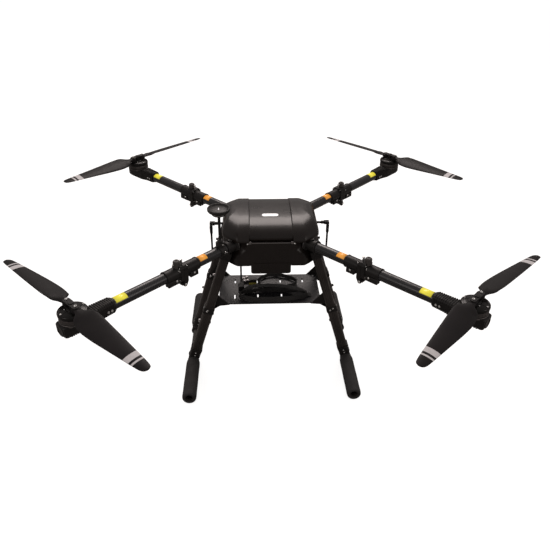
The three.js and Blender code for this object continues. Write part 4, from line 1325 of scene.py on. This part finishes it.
def power_lead(look):
    x, y, z = LEAD_PATH[-1]
    plug = Shape()
    plug.prism(rounded_box(9, 7, 2), 0.6, 25.6)
    plug.prism(rounded_box(7.4, 5.4, 1.6), 25.6, 27)
    for k in range(5):
        plug.prism(rounded_box(9.5, 7.4, 2.2), 4 + 3 * k, 5.4 + 3 * k)
    turn = Matrix.Translation((x, y - 0.6, z - 1)) @ Matrix.Rotation(math.radians(90), 4, "X")
    plug_piece = plug.piece("power_plug_body", turn, look["plastic"], "airframe", bevel=0.4,
                            nodes=["power_plug"], slot="black_plastic")
    wire("power_lead_cable", LEAD_PATH, LEAD_R, look["rubber"], LEAD_PATH[0],
         nodes=["power_lead"])


def tray_goods(look):
    """The battery straps, left lying in loops, and the connectors beside the power lead."""
    upper = [(-37, 35), (-19, 58), (8, 70), (42, 66), (72, 50), (92, 30), (84, 12), (60, -2), (38, -9),
             (8, -10), (-18, 0), (-35, 14)]
    strap_loop("upper_strap_loop", upper, 13, 1.6, look, 1.5)
    lower = [(-100, -44), (-92, -62), (-62, -76), (-26, -80), (18, -80), (62, -76), (100, -66), (122, -54),
             (112, -42), (84, -34),
             (45, -26), (0, -23), (-50, -24), (-84, -30)]
    strap_loop("lower_strap_loop", lower, 16, 1.8, look, -3)
    flat_strap("strap_tail",
               [(-84, -22, 3), (-60, -16, 16), (-10, -13, 18), (40, -16, 17), (88, -24, 12),
                (118, -38, 3)], 20, 1.8, look)
    flat_strap("strap_end", [(70, -60, 14), (96, -52, 12), (118, -48, 6), (132, -46, 1.5)], 18, 1.8, look)

    box = Shape()
    box.prism(rounded_box(13, 9, 2), 0.2, 13)
    box.prism(rounded_box(11, 7, 1.5), 13, 15)
    for k in range(6):
        box.box((-10 + 4 * k - 0.8, -10, 3), (-10 + 4 * k + 0.8, -8.6, 11))
    box.piece("tray_connector_box", Matrix.Translation((-54, 36, TRAY_HIGH.z)), look["plastic"],
              "airframe", bevel=0.5)
    olive = Shape().prism(rounded_box(12, 4, 1), 0.2, 5)
    olive.piece("tray_connector_seal", Matrix.Translation((-54, 24.5, TRAY_HIGH.z)), look["olive"],
                "airframe", bevel=0.5)
    cluster = Shape()
    for dx, dy, h in ((-6, 6, 10), (5, 8, 13), (-3, -6, 8), (7, -5, 9)):
        outline = [(a + dx, b + dy) for a, b in rounded_box(4.6, 5.4, 1.2)]
        cluster.prism(outline, 0.2, h)
        cluster.prism([(a * 0.8 + dx * 0.2, b * 0.8 + dy * 0.2) for a, b in outline], h, h + 2)
    cluster.piece("tray_connector_cluster", Matrix.Translation((-78, 42, TRAY_HIGH.z)), look["dark_steel"],
                  "airframe", bevel=0.4)


# ------------------------------------------------------------------ assembly
def main():
    make_camera()
    look = make_materials()
    power_lead(look)
    make_lights()
    make_floor()
    for corner in CORNERS:
        arm_tubes(corner, look)
        joint_half(corner, True, look)
        joint_half(corner, False, look)
        motor_mount(corner, look)
        rotor(corner, look)
        blade(corner, "a", look)
        blade(corner, "b", look)
        landing_leg(corner, look)
        foam_grip(corner, look)
        tube_label(f"{corner}_orange_label", corner, ORANGE_LABEL, look["orange"], "airframe")
        tube_label(f"{corner}_yellow_label", corner, YELLOW_LABEL, look["yellow"], f"{corner}_arm")
    canopy(look)
    lower_shell(look)
    centre_frame(look)
    positioning_mast(look)
    antennas(look)
    for side in (-1, 1):
        skid(side, look)
    payload_tray(look)
    for end in (-1, 1):
        tray_rail(end, look)
    tray_goods(look)
    frame["nodes"]["flight_controller"].material_slots[0].material = look["plastic"]


main()
